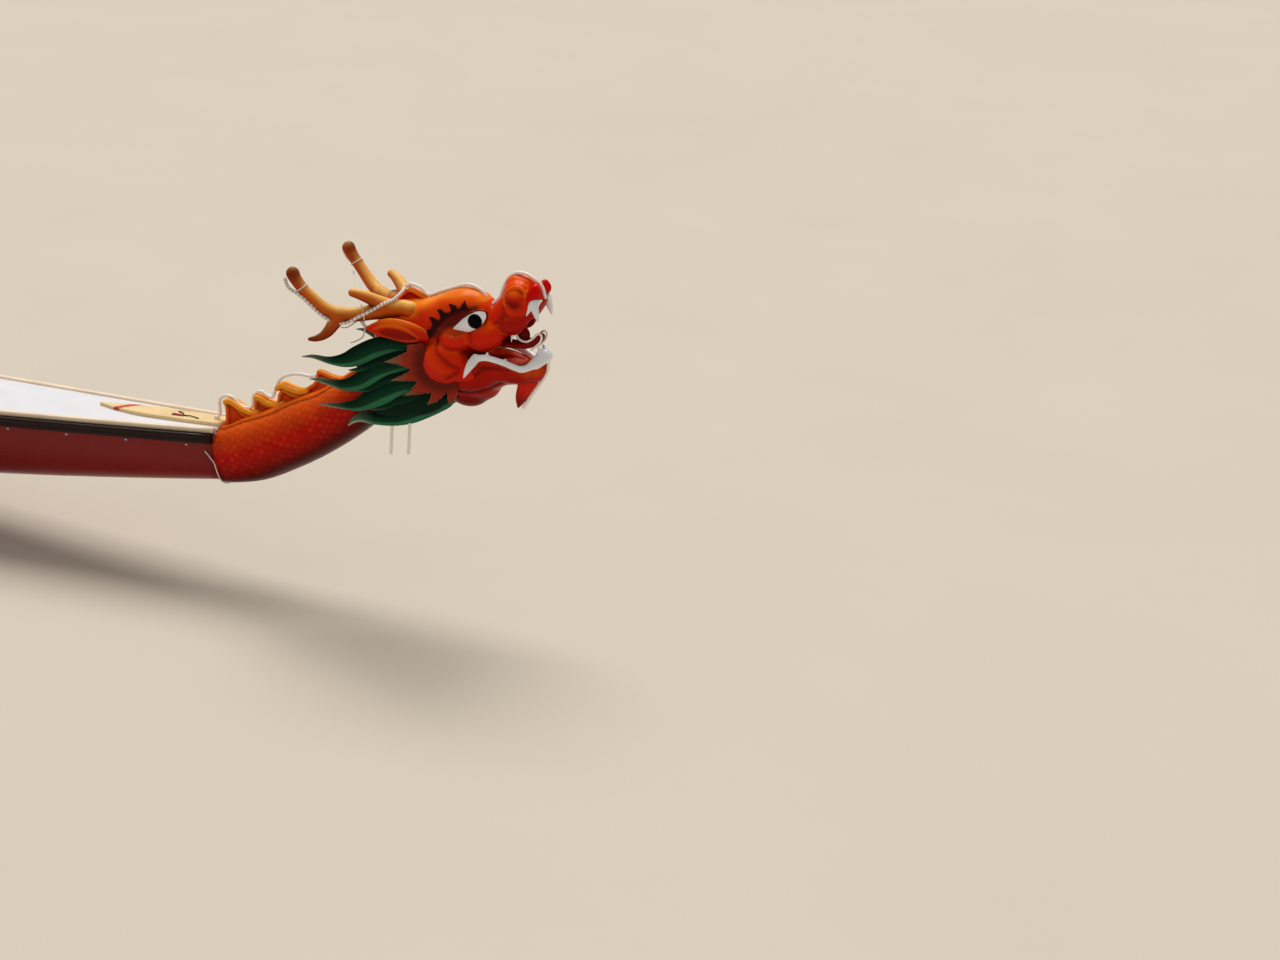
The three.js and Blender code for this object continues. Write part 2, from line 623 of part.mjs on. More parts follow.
// Rope light over the crest and the head, x and z on the centreline.
const ROPE_ON_BOARD = [-150, -95, -45].map((x) =>
  [x, boardTop(HULL_HALF_LENGTH + x) + ROPE_RADIUS + 3 * GAP]);
const ROPE_CREST = [
  ...ROPE_ON_BOARD, [-30, 720], [-30, 774], [-9, 797], [29, 799], [67, 771], [105, 763],
  [133, 778], [141, 824], [169, 847], [200, 836], [232, 833], [251, 880], [275, 924],
  [321, 948], [368, 956], [414, 955], [446, 966],
];
const ROPE_HEAD = [
  [850, 1404], [882, 1428], [930, 1419], [968, 1394], [1023, 1417], [1080, 1442], [1127, 1461],
  [1162, 1466], [1190, 1457], [1226, 1424], [1244, 1396], [1258, 1396], [1282, 1424],
  [1308, 1466], [1319, 1492], [1332, 1524], [1351, 1542], [1371, 1550], [1405, 1549],
  [1444, 1533], [1468, 1518], [1482, 1500], [1488, 1480], [1490, 1462],
];
function rope(grow, path) {
  const rows = path.map(([x, z]) => [x, 0, z, ROPE_RADIUS, ROPE_RADIUS]);
  return horn(grow, rows, 6);
}

// Each antler's light runs under the main stem, from its root out to the tip.
const antlerRope = (side) => (grow) => {
  const rows = ANTLER.slice(1, 7).map(([x, y, z, wide]) =>
    [x + 6, y + wide * 0.55, z - wide * 0.86, ROPE_RADIUS, ROPE_RADIUS]);
  return horn(grow, onSide(side, rows), 6);
};

// Two loose ends of the light hang under the mane. Columns: x, top z, bottom z.
const ROPE_ENDS = [[868, 895, 730], [950, 918, 745]];
const ROPE_END_STEP = 30;
const ROPE_END_Y = -112;
const ropeEnd = ([x, top, bottom]) => (grow) => {
  const steps = Math.round((top - bottom) / ROPE_END_STEP);
  const rows = Array.from({ length: steps + 1 }, (_, k) => {
    const z = top + ((bottom - top) * k) / steps;
    return [x - k, ROPE_END_Y, z, ROPE_RADIUS, ROPE_RADIUS];
  });
  return horn(grow, rows, 8);
};

function bowPieces() {
  return seat([
    ["rope_light_crest", "light", (grow) => rope(grow, ROPE_CREST)],
    ["rope_light_head", "light", (grow) => rope(grow, ROPE_HEAD)],
    ["rope_light_antler_port", "light", antlerRope(1)],
    ["rope_light_antler_starboard", "light", antlerRope(-1)],
    ["rope_light_end_aft", "light", ropeEnd(ROPE_ENDS[0])],
    ["rope_light_end_fore", "light", ropeEnd(ROPE_ENDS[1])],
    ["eye_port", "tooth", eye(1)],
    ["eye_starboard", "tooth", eye(-1)],
    ["neck", "neck", neck],
    ["upper_lip", "lip", upperLip],
    ["skull", "face", skull],
    ["lower_jaw", "face", lowerJaw],
    ["upper_teeth", "tooth", upperTeeth],
    ["lower_teeth", "tooth", lowerTeeth],
    ["tongue", "mouth", tongue],
    ["beard", "face", beard],
    ["antler_port", "horn", antler(1)],
    ["antler_starboard", "horn", antler(-1)],
    ["ear_port", "face", ear(1)],
    ["ear_starboard", "face", ear(-1)],
    ["eyebrow_port", "brow", brow(1)],
    ["eyebrow_starboard", "brow", brow(-1)],
    ["ruff_port", "ruff", ruff(1)],
    ["ruff_starboard", "ruff", ruff(-1)],
    ["mane_port", "mane", mane(1)],
    ["mane_starboard", "mane", mane(-1)],
    ["head_crest", "crest", headCrest],
    ["neck_crest", "crest", neckCrest],
  ]);
}

// Stern figure, measured aft from the hull's stern end.
const TAIL = [
  [1, 0, 553, 108, 121], [60, 0, 558, 110, 122], [250, 0, 592, 102, 114], [480, 0, 676, 88, 98],
  [700, 0, 812, 72, 80], [870, 0, 985, 56, 62], [965, 0, 1160, 42, 46], [1005, 0, 1290, 30, 32],
  [1016, 0, 1370, 16, 16],
];
const TAIL_CREST = [
  [4, 600], [4, 760], [60, 752], [120, 722], [150, 726], [160, 790], [200, 800], [262, 758],
  [300, 768], [308, 838], [350, 852], [412, 812], [450, 830], [456, 906], [500, 922], [566, 888],
  [600, 914], [604, 996], [650, 1010], [708, 980], [736, 1018], [734, 1102], [790, 1106],
  [830, 1090], [848, 1140], [842, 1220], [900, 1220], [960, 1240], [960, 1100], [800, 860],
  [500, 690],
];
// Tuft flames: a root near the tail's end, then a bend and a tip.
const TAIL_FLAMES = [
  [[1000, 0, 1230, 22, 30], [1010, 0, 1420, 16, 36], [1090, 0, 1500, 10, 20], [1150, 0, 1556, 3, 3]],
  [[1000, 0, 1230, 22, 28], [930, 0, 1370, 16, 32], [900, 0, 1460, 10, 20], [930, 0, 1540, 3, 3]],
  [[1000, 0, 1200, 22, 28], [1110, 0, 1320, 16, 30], [1200, 0, 1370, 10, 18], [1290, 0, 1450, 3, 3]],
  [[980, 0, 1120, 22, 26], [1090, 0, 1180, 14, 26], [1190, 0, 1200, 9, 16], [1300, 0, 1270, 3, 3]],
  [[960, 0, 1120, 22, 26], [850, 0, 1250, 14, 26], [790, 0, 1330, 9, 16], [800, 0, 1410, 3, 3]],
];
const flames = (...picked) => (grow) => fuse(picked.map((k) => horn(grow, TAIL_FLAMES[k])));

function sternPieces() {
  return seat([
    ["tail_body", "neck", (grow) => clearOfHullEnd(horn(grow, TAIL, 12))],
    ["tail_crest", "crest", () => plate(TAIL_CREST, 36)],
    ["tail_flames", "mane", flames(0, 1)],
    ["tail_flame_aft_high", "mane", flames(2)],
    ["tail_flame_aft_low", "mane", flames(3)],
    ["tail_flame_fore", "mane", flames(4)],
  ]);
}

// Steering gear: a bar across the stern deck, a yoke that turns on its pin, and the oar.
const deckTop = (x) => sheer(x) + camber(x) + DECK_THICKNESS + GAP;
const barLow = GAP + Math.max(deckTop(OAR_PIVOT_X - BAR_HALF_WIDTH),
  deckTop(OAR_PIVOT_X + BAR_HALF_WIDTH));
const barTop = barLow + BAR_THICKNESS;
const trunnionZ = barTop + GAP + YOKE_BASE_THICKNESS + TRUNNION_HEIGHT;

function oarBracket() {
  const beam = halfBeam(OAR_PIVOT_X);
  const arm = box([-BAR_HALF_WIDTH, -beam, barLow], [BAR_HALF_WIDTH, OAR_PIVOT_Y, barTop])
    .translate([OAR_PIVOT_X, 0, 0]);
  const round = bar(BAR_HALF_WIDTH, barLow, barTop, 20).translate([OAR_PIVOT_X, OAR_PIVOT_Y, 0]);
  const feet = [-1, 1].map((side) => {
    const [inner, outer] = [beam - CAP_INNER + 2, beam + CAP_OUTER - 2];
    const [low, high] = side > 0 ? [inner, outer] : [-outer, -inner];
    const top = capTop(OAR_PIVOT_X - BAR_HALF_WIDTH) + GAP;
    return box([-BAR_HALF_WIDTH + 4, low, top], [BAR_HALF_WIDTH - 4, high, barLow + 2])
      .translate([OAR_PIVOT_X, 0, 0]);
  });
  const pinTop = barTop + GAP + YOKE_BASE_THICKNESS + GAP;
  const pin = bar(PIN_RADIUS, barTop - 2, pinTop + 2);
  const head = bar(PIN_RADIUS + 6, pinTop, pinTop + 6);
  return fuse([arm, round, ...feet, pin.add(head).translate([OAR_PIVOT_X, OAR_PIVOT_Y, 0])]);
}

// The yoke's own frame has its base's underside centre at the origin.
function oarYoke() {
  const half = YOKE_INNER_HALF + YOKE_EAR_THICKNESS;
  const base = bar(half, 0, YOKE_BASE_THICKNESS, 24);
  const height = YOKE_BASE_THICKNESS + TRUNNION_HEIGHT;
  const ears = [-1, 1].map((side) => {
    const low = side > 0 ? YOKE_INNER_HALF : -half;
    const high = low + YOKE_EAR_THICKNESS;
    const upright = box([-22, low, 0], [22, high, height]);
    const eyeRound = bar(22, low, high, 20, true).translate([0, 0, height]);
    return upright.add(eyeRound).subtract(
      bar(BORE_RADIUS, low - 1, high + 1, 16, true).translate([0, 0, height]));
  });
  const bore = bar(BORE_RADIUS, -1, YOKE_BASE_THICKNESS + 1);
  return fuse([base, ...ears]).subtract(bore);
}

// The oar's own frame has its trunnion at the origin and its loom along X, grip forward.
const OAR_GRIP = 1180;
const OAR_TIP = -1650;
const BLADE_START = -1020;
function steeringOar() {
  const turned = (low, high, radius) =>
    bar(radius, low, high, 12).rotate([0, 90, 0]);
  const loom = turned(BLADE_START - 60, OAR_GRIP, LOOM_RADIUS);
  const collar = turned(-45, 45, LOOM_RADIUS + 5);
  const trunnions = bar(PIN_RADIUS, -YOKE_INNER_HALF - YOKE_EAR_THICKNESS - 3,
    YOKE_INNER_HALF + YOKE_EAR_THICKNESS + 3, 16, true);
  const grip = bar(18, -65, 65, 12, true).translate([OAR_GRIP - 10, 0, 0]);
  // Columns: x, half thickness, half height
  const blade = loft([
    [BLADE_START + 60, 16, 18], [BLADE_START - 60, 15, 52], [BLADE_START - 200, 12, 96],
    [BLADE_START - 420, 10, 108], [OAR_TIP + 40, 8, 106], [OAR_TIP, 6, 84],
  ].map(([x, thick, high]) => [
    [-thick, -high], [thick, -high], [thick, high], [-thick, high],
  ].map(([y, z]) => new THREE.Vector3(x, y, z))));
  return fuse([loom, collar, trunnions, grip, blade]);
}

// Assembly
const boat = new THREE.Group();

const hullPieces = seat([
  ["hull_shell", "hull", hullShell],
  ["bow_deck", "deck", deck(1)],
  ["stern_deck", "deck", deck(-1)],
  ["rail_port", "rail", rail(1)],
  ["rail_starboard", "rail", rail(-1)],
  ["cap_port", "cap", cap(1)],
  ["cap_starboard", "cap", cap(-1)],
  ...thwartXs.map((x, k) => [`thwart_${String(k + 1).padStart(2, "0")}`, "seat", thwart(x)]),
  ["riser_port", "seat", riser(1)],
  ["riser_starboard", "seat", riser(-1)],
  ["foot_frame", "seat", footFrame],
  ["drummer_seat_base", "black", seatBase],
  ["mounting_board", "board", board],
]);
const ropeOverBoard = rope(GAP, ROPE_CREST).translate([HULL_HALF_LENGTH, 0, 0]);
hullPieces
  .map(([name, paint, solid]) => [name, paint,
    name === "mounting_board" ? solid.subtract(ropeOverBoard) : solid])
  .map(node)
  .forEach((mesh) => boat.add(mesh));

const bow = new THREE.Group();
bow.position.x = HULL_HALF_LENGTH;
bowPieces().map(node).forEach((mesh) => bow.add(mesh));
boat.add(bow);

const stern = new THREE.Group();
stern.position.x = -HULL_HALF_LENGTH;
stern.rotation.z = Math.PI;
sternPieces().map(node).forEach((mesh) => stern.add(mesh));
boat.add(stern);

boat.add(node(["oar_bracket", "metal", oarBracket()]));

const yoke = node(["oar_yoke", "metal", oarYoke()]);
yoke.position.set(OAR_PIVOT_X, OAR_PIVOT_Y, barTop + GAP);
boat.add(yoke);

const oar = node(["steering_oar", "wood", steeringOar()]);
oar.position.set(OAR_PIVOT_X, OAR_PIVOT_Y, trunnionZ);
oar.rotation.y = -OAR_PITCH_DEG * RADIAN;
boat.add(oar);

export default boat;
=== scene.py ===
from math import cos, pi, radians, sin

import bpy
import numpy as np
from mathutils import Matrix, Vector


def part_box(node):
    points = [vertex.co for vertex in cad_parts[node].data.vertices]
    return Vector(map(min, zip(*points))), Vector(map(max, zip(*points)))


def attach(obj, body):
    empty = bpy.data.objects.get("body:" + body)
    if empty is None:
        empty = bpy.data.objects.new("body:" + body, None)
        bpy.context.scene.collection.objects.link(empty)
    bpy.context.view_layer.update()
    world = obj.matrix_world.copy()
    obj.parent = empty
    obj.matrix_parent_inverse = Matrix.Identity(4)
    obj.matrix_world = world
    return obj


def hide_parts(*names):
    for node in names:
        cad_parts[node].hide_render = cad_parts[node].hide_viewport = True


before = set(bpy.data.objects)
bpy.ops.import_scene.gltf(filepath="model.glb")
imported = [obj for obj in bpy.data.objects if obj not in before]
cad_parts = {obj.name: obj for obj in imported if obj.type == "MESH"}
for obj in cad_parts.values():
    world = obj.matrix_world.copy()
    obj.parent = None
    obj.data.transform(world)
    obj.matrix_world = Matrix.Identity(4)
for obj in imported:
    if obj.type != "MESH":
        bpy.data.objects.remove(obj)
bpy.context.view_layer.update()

# A racing dragon boat for twenty paddlers. Row frame in metres: +X to the bow, +Z up, the waterline at Z = 0.
MILLI = 0.001
SIDES = {"port": 1, "starboard": -1}

# Camera: a long lens above and ahead of the starboard bow
CAMERA_PLACE = (14.0858, -10.1496, 4.7931)
CAMERA_PITCH = 19.9498
CAMERA_YAW = 23.4258
CAMERA_ROLL = 2.3483
CAMERA_LENS = 82.327
CAMERA_SENSOR = 36
CAMERA_SIGHT = 400


def added(name, data):
    """A new object in the scene."""
    thing = bpy.data.objects.new(name, data)
    bpy.context.scene.collection.objects.link(thing)
    return thing


def make_camera():
    yaw, pitch, roll = radians(CAMERA_YAW), radians(CAMERA_PITCH), radians(CAMERA_ROLL)
    forward = Vector((-sin(yaw) * cos(pitch), cos(yaw) * cos(pitch), -sin(pitch)))
    level = Vector((cos(yaw), sin(yaw), 0))
    above = level.cross(forward)
    right = cos(roll) * level + sin(roll) * above
    up = -sin(roll) * level + cos(roll) * above
    camera = added("camera", bpy.data.cameras.new("camera"))
    camera.data.lens = CAMERA_LENS
    camera.data.sensor_width = CAMERA_SENSOR
    camera.data.clip_end = CAMERA_SIGHT
    camera.matrix_world = Matrix.Translation(CAMERA_PLACE) @ Matrix((right, up, -forward)).transposed().to_4x4()
    bpy.context.scene.camera = camera


make_camera()
bpy.context.scene.view_settings.view_transform = "Standard"


# Colours
def rgb(red, green, blue):
    """The linear value of an sRGB colour, its parts from 0 to 255."""
    share = np.array([red, green, blue]) / 255
    return np.where(share <= 0.04045, share / 12.92, ((share + 0.055) / 1.055) ** 2.4)


HULL_RED = rgb(130, 18, 17)
HULL_WHITE = rgb(232, 231, 236)
GOLD = rgb(176, 104, 22)
RAIL = rgb(34, 14, 10)
CREAM = rgb(247, 224, 196)
BLACK = rgb(6, 5, 6)
BOARD = rgb(240, 208, 150)
BAND_RED = rgb(200, 60, 20)
FACE = rgb(224, 34, 2)
FACE_DEEP = rgb(112, 4, 0)
ORANGE = rgb(246, 94, 8)
AMBER = rgb(252, 160, 40)
# Painted shade under the brow and in the eye socket
SOCKET_SHADE = rgb(92, 14, 10)
BROW = rgb(26, 3, 3)
LIP = rgb(216, 8, 4)
MOUTH = rgb(118, 16, 12)
MOUTH_RED = rgb(236, 44, 30)
# A pink painted highlight inside the mouth
MOUTH_PINK_HIGHLIGHT = rgb(250, 150, 136)
# The tongue's dark maroon, darkened further as painted shade
TONGUE_DARK = rgb(128, 12, 10)
NOSE = rgb(234, 50, 3)
# Painted shade on the underside of each nostril
NOSTRIL_SHADE = rgb(120, 10, 0)
JAW_RED = rgb(178, 16, 2)
# Painted shade under the jaw and in its folds
JAW_SHADE = rgb(62, 3, 1)
TOOTH = rgb(242, 243, 248)
HORN_TOP = rgb(255, 202, 104)
HORN_MID = rgb(210, 92, 18)
HORN_LOW = rgb(74, 16, 4)
HORN_END = rgb(104, 16, 4)
RUFF = rgb(158, 44, 24)
RUFF_EDGE = rgb(120, 116, 80)
MANE = rgb(3, 54, 30)
# Painted shade in the ruff's creases and underneath
RUFF_CREASE_SHADE = rgb(2, 26, 20)
MANE_EDGE = rgb(58, 132, 92)
MANE_TIP = rgb(196, 216, 188)
NECK_TOP = rgb(246, 104, 14)
NECK_SIDE = rgb(196, 12, 0)
NECK_LOW = rgb(78, 5, 2)
CREST_RIM = rgb(240, 112, 24)
CREST_WEB = rgb(222, 70, 12)
LIGHT_TUBE = rgb(252, 246, 236)
STRIP_PALE = rgb(246, 236, 228)
STRIP_DARK = rgb(190, 170, 162)
WOOD = rgb(196, 140, 84)
WOOD_GRAIN = rgb(120, 72, 36)
STEEL = rgb(170, 172, 176)
FLOOR = rgb(208, 197, 181)
STRAP = rgb(150, 24, 18)
TIE = rgb(224, 220, 212)
STAIN = rgb(60, 40, 28)


# Materials
NOISE_ROUGHNESS = 0.55
GRAIN_STRETCH = (3.0, 90.0, 90.0)
COAT_ROUGHNESS = 0.12


def feed(tree, node, inputs):
    """Each of a node's inputs, given by name or number, is linked to a socket or set to a value."""
    for key, value in inputs.items():
        if isinstance(value, bpy.types.NodeSocket):
            tree.links.new(value, node.inputs[key])
        else:
            node.inputs[key].default_value = value
    return node


def add_node(tree, kind, inputs):
    return feed(tree, tree.nodes.new("ShaderNode" + kind), inputs)


def noise(tree, place, scale, detail=4.0):
    inputs = {"Scale": scale, "Detail": detail, "Roughness": NOISE_ROUGHNESS, "Vector": place}
    return add_node(tree, "TexNoise", inputs).outputs["Fac"]


def spread(tree, value, low, high, start=0.3, stop=0.7):
    """A value between start and stop stretched to run from low to high."""
    inputs = {"From Min": start, "From Max": stop, "To Min": low, "To Max": high, "Value": value}
    return add_node(tree, "MapRange", inputs).outputs["Result"]


def multiplied(tree, kind, first, second):
    node = add_node(tree, kind, {0: first, 1: second})
    node.operation = "MULTIPLY"
    return node.outputs[0]


def mixed(tree, factor, first, second, blend="MIX"):
    """Two colours mixed: each is a socket or a fixed colour."""
    node = tree.nodes.new("ShaderNodeMix")
    node.data_type = "RGBA"
    node.blend_type = blend
    first, second = (c if isinstance(c, bpy.types.NodeSocket) else (*c, 1) for c in (first, second))
    return feed(tree, node, {0: factor, 6: first, 7: second}).outputs[2]


def wood_grain(tree, place, base, dark):
    """Long streaks of a darker wood colour along X."""
    stretched = multiplied(tree, "VectorMath", place, GRAIN_STRETCH)
    return mixed(tree, spread(tree, noise(tree, stretched, 1.0, 3.0), 0.0, 0.75), base, dark)


def low_dirt(tree, place, base, dirt_colour, low, high):
    """A stain that fades out upwards, between two heights, with an uneven edge."""
    split = add_node(tree, "SeparateXYZ", {"Vector": place})
    height = spread(tree, split.outputs["Z"], 1.0, 0.0, low, high)
    uneven = spread(tree, noise(tree, place, 4.0, 6.0), 0.1, 0.5)
    return mixed(tree, multiplied(tree, "Math", height, uneven), base, dirt_colour)


def material(name, colour=None, roughness=(0.3, 0.45), *, vary, vary_scale, bump, bump_scale=60.0,
             bump_depth=0.002, coat=0.0, metallic=0.0, specular=0.5, ior=1.5, dirt=None, grain=None):
    """A painted or moulded finish. With no colour, it takes the paint stored on the mesh as "tint"."""
    made = bpy.data.materials.new(name)
    made.use_nodes = True
    tree = made.node_tree
    place = tree.nodes.new("ShaderNodeTexCoord").outputs["Object"]
    base = colour
    if colour is None:
        paint = tree.nodes.new("ShaderNodeAttribute")
        paint.attribute_name = "tint"
        base = paint.outputs["Color"]
    patches = spread(tree, noise(tree, place, vary_scale), 1 - vary, 1 + vary * 0.6)
    shade = add_node(tree, "CombineColor", dict.fromkeys(("Red", "Green", "Blue"), patches))
    base = mixed(tree, 1.0, base, shade.outputs["Color"], "MULTIPLY")
    if grain is not None:
        base = wood_grain(tree, place, base, grain)
    if dirt is not None:
        base = low_dirt(tree, place, base, *dirt)
    wear = spread(tree, noise(tree, place, vary_scale * 3.7, 6.0), *roughness)
    height = noise(tree, place, bump_scale, 5.0)
    relief = add_node(tree, "Bump", {"Strength": bump, "Distance": bump_depth, "Height": height})
    feed(tree, tree.nodes["Principled BSDF"], {
        "Base Color": base, "Roughness": wear, "Normal": relief.outputs["Normal"], "Metallic": metallic,
        "Specular IOR Level": specular, "IOR": ior, "Coat Weight": coat, "Coat Roughness": COAT_ROUGHNESS})
    return made


FINISH = {
    "hull": material("hull_gelcoat", roughness=(0.18, 0.34), vary=0.10, vary_scale=1.6, bump=0.05,
                     bump_scale=9.0, bump_depth=0.01, coat=0.1, ior=1.28, dirt=(STAIN, 0.0, 0.09)),
    "gold": material("gold_paint", GOLD, (0.35, 0.5), vary=0.16, vary_scale=14, bump=0.1),
    "white": material("white_gelcoat", HULL_WHITE, (0.32, 0.5), vary=0.06, vary_scale=2.2, bump=0.06,
                      bump_scale=40),
    "rail": material("rail_rubber", RAIL, (0.3, 0.5), vary=0.2, vary_scale=8, bump=0.15, bump_scale=90,
                     specular=0.2),
    "cream": material("cap_wood_paint", CREAM, (0.35, 0.5), vary=0.1, vary_scale=6, bump=0.12,
                      bump_scale=50),
    "black": material("black_plastic", BLACK, (0.38, 0.55), vary=0.25, vary_scale=12, bump=0.25,
                      bump_scale=260, bump_depth=0.001, specular=0.2),
    "painted": material("carved_paint", roughness=(0.16, 0.3), vary=0.12, vary_scale=11, bump=0.14,
                        bump_scale=42, bump_depth=0.003, ior=1.17),
    "pupil": material("pupil_gloss", BLACK, (0.08, 0.14), vary=0.1, vary_scale=20, bump=0.0, specular=0.04),
    "tooth": material("tooth_enamel", roughness=(0.2, 0.34), vary=0.07, vary_scale=20, bump=0.08,
                      bump_scale=60, coat=0.3),
    "strip": material("light_strip_plastic", roughness=(0.3, 0.5), vary=0.1, vary_scale=30, bump=0.15,
                      bump_scale=150, bump_depth=0.001),
    "light": material("light_tube_plastic", LIGHT_TUBE, (0.22, 0.36), vary=0.04, vary_scale=60, bump=0.1,
                      bump_scale=150, bump_depth=0.001),
    "wood": material("varnished_wood", WOOD, (0.3, 0.45), vary=0.15, vary_scale=3, bump=0.1,
                     bump_scale=80, coat=0.3, grain=WOOD_GRAIN),
    "board": material("board_wood", roughness=(0.35, 0.5), vary=0.12, vary_scale=9, bump=0.12,
                      bump_scale=70),
    "steel": material("brushed_steel", STEEL, (0.25, 0.45), vary=0.1, vary_scale=30, bump=0.08,
                      bump_scale=200, bump_depth=0.0006, metallic=1.0),
    "strap": material("strap_webbing", STRAP, (0.6, 0.8), vary=0.2, vary_scale=60, bump=0.4,
                      bump_scale=600, bump_depth=0.001),
    "tie": material("cord_tie", TIE, (0.5, 0.7), vary=0.2, vary_scale=80, bump=0.4, bump_scale=700,
                    bump_depth=0.001),
}


# Shapes: points, faces and the paint of each point
class Shape:
    def __init__(self, points, faces, tint):
        self.points = np.asarray(points, float)
        self.faces = [list(face) for face in faces]
        tint = np.asarray(tint, float)
        self.tint = np.tile(tint, (len(self.points), 1)) if tint.ndim == 1 else tint

    def moved(self, points):
        """The same faces and paint on other points."""
        return Shape(points, self.faces, self.tint)

    def turned(self):
        """The same shape with its faces turned over."""
        return Shape(self.points, [face[::-1] for face in self.faces], self.tint)

    def flipped(self):
        """The shape's mirror image across the centreline."""
        return self.turned().moved(self.points * (1, -1, 1))

    def on(self, side):
        return self if side > 0 else self.flipped()


def merged(shapes):
    shapes = list(shapes)
    starts = np.cumsum([0] + [len(shape.points) for shape in shapes])
    faces = [[start + v for v in face] for start, shape in zip(starts, shapes) for face in shape.faces]
    return Shape(np.vstack([s.points for s in shapes]), faces, np.vstack([s.tint for s in shapes]))


def piece(name, shape, finish, slot, *nodes, body="boat"):
    """A shape as a named object that rides on a body and stands for CAD nodes."""
    mesh = bpy.data.meshes.new(name)
    mesh.from_pydata(shape.points.tolist(), [], shape.faces)
    mesh.validate()
    mesh.materials.append(FINISH[finish])
    mesh.shade_smooth()
    paint = mesh.attributes.new("tint", "FLOAT_COLOR", "POINT")
    rgba = np.hstack([shape.tint, np.ones((len(shape.tint), 1))]).astype(np.float32)
    paint.data.foreach_set("color", rgba.ravel())
    thing = added(name, mesh)
    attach(thing, body)
    if nodes:
        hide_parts(*nodes)
    return thing


def from_bow(shape):
    """From millimetres ahead of the hull's bow end to metres."""
    return shape.moved(shape.points * MILLI + (HALF_LENGTH, 0, 0))


def from_stern(shape):
    """From millimetres aft of the hull's stern end to metres."""
    return shape.moved(shape.points * (-MILLI, -MILLI, MILLI) - (HALF_LENGTH, 0, 0))


def smooth_rows(rows, steps):
    """Rows of numbers made denser along a smooth curve through them."""
    rows = np.array(rows, float)
    padded = np.vstack([2 * rows[0] - rows[1], rows, 2 * rows[-1] - rows[-2]])
    out = []
    for a, b, c, d in zip(padded, padded[1:], padded[2:], padded[3:]):
        for t in np.arange(steps) / steps:
            out.append(b + 0.5 * t * (c - a + t * (2 * a - 5 * b + 4 * c - d + t * (3 * b - a - 3 * c + d))))
    return np.vstack(out + [rows[-1]])


def unit(vectors):
    return vectors / np.maximum(np.linalg.norm(vectors, axis=-1, keepdims=True), 1e-9)


def ring_faces(rings, around, looped=False):
    """Quads between neighbouring rings of points, and from the last ring to the first where looped."""
    faces = []
    for k in range(rings if looped else rings - 1):
        a, b = k * around, (k + 1) % rings * around
        for s in range(around):
            t = (s + 1) % around
            faces.append([a + s, a + t, b + t, b + s])
    return faces


def circle(side, other, around):
    """Directions round a circle through two that are square to each other."""
    angle = np.arange(around) / around * 2 * pi
    return np.cos(angle)[:, None] * side + np.sin(angle)[:, None] * other


def lofted(rings, tint):
    """A closed body through rings of points. The paint is one colour, or one for each ring and point."""
    rings = np.asarray(rings, float)
    count, around = rings.shape[:2]
    points = np.vstack([rings.reshape(-1, 3), rings[0].mean(0), rings[-1].mean(0)])
    tint = np.asarray(tint, float)
    if tint.ndim > 1:
        tint = np.broadcast_to(tint, (count, around, 3))
        tint = np.vstack([tint.reshape(-1, 3), tint[0].mean(0), tint[-1].mean(0)])
    faces = ring_faces(count, around)
    first, last, last_ring = count * around, count * around + 1, (count - 1) * around
    for s in range(around):
        t = (s + 1) % around
        faces += [[first, t, s], [last, last_ring + s, last_ring + t]]
    return Shape(points, faces, tint)


def sweep_frames(line):
    """Directions ahead, to the side and above along a line. The side stays near Y."""
    ahead = unit(np.gradient(line, axis=0))
    side = unit(np.array([0.0, 1.0, 0.0]) - ahead * ahead[:, 1:2])
    return ahead, side, np.cross(ahead, side)


# Round ends of tubes: their steps and the share of the width left at the tip
END_STEPS = 4
END_TIP = 0.02


def swept_rings(rows, around, steps=6, outline=None, round_ends=True):
    """Rings of a tube through rows of x, y, z, half width, half height, with the place along each ring."""
    rows = smooth_rows(rows, steps)
    line, wide, high = rows[:, :3], rows[:, 3:4], rows[:, 4:5]
    ahead, side, above = sweep_frames(line)
    along = np.concatenate([[0], np.cumsum(np.linalg.norm(np.diff(line, axis=0), axis=1))])
    along /= along[-1]
    if round_ends:
        turns = np.linspace(0, pi / 2, END_STEPS + 1)[1:]
        for end, sign in ((0, -1), (-1, 1)):
            reach = min(wide[end, 0], high[end, 0])
            extra = [line[end] + sign * ahead[end] * reach * sin(turn) for turn in turns]
            scale = np.array([max(cos(turn), END_TIP) for turn in turns])[:, None]
            parts = [np.array(extra), wide[end] * scale, high[end] * scale,
                     np.tile(side[end], (END_STEPS, 1)), np.tile(above[end], (END_STEPS, 1)),
                     np.full(END_STEPS, along[end])]
            line, wide, high, side, above, along = [
                np.concatenate([part[::-1], whole] if sign < 0 else [whole, part])
                for part, whole in zip(parts, (line, wide, high, side, above, along))]
    angle = np.arange(around) / around * 2 * pi
    reach = np.ones((len(line), around)) if outline is None else outline(angle[None, :], along[:, None])
    rings = (line[:, None] + side[:, None] * (wide * np.cos(angle) * reach)[..., None]
             + above[:, None] * (high * np.sin(angle) * reach)[..., None])
    return rings, along, angle


def tube(rows, tint, around=12):
    return lofted(swept_rings(rows, around)[0], tint)


BOX_EDGE_POINTS = 4
DOME_TURNS = (-0.5, 0.0, 0.5, 1.0, 1.4)


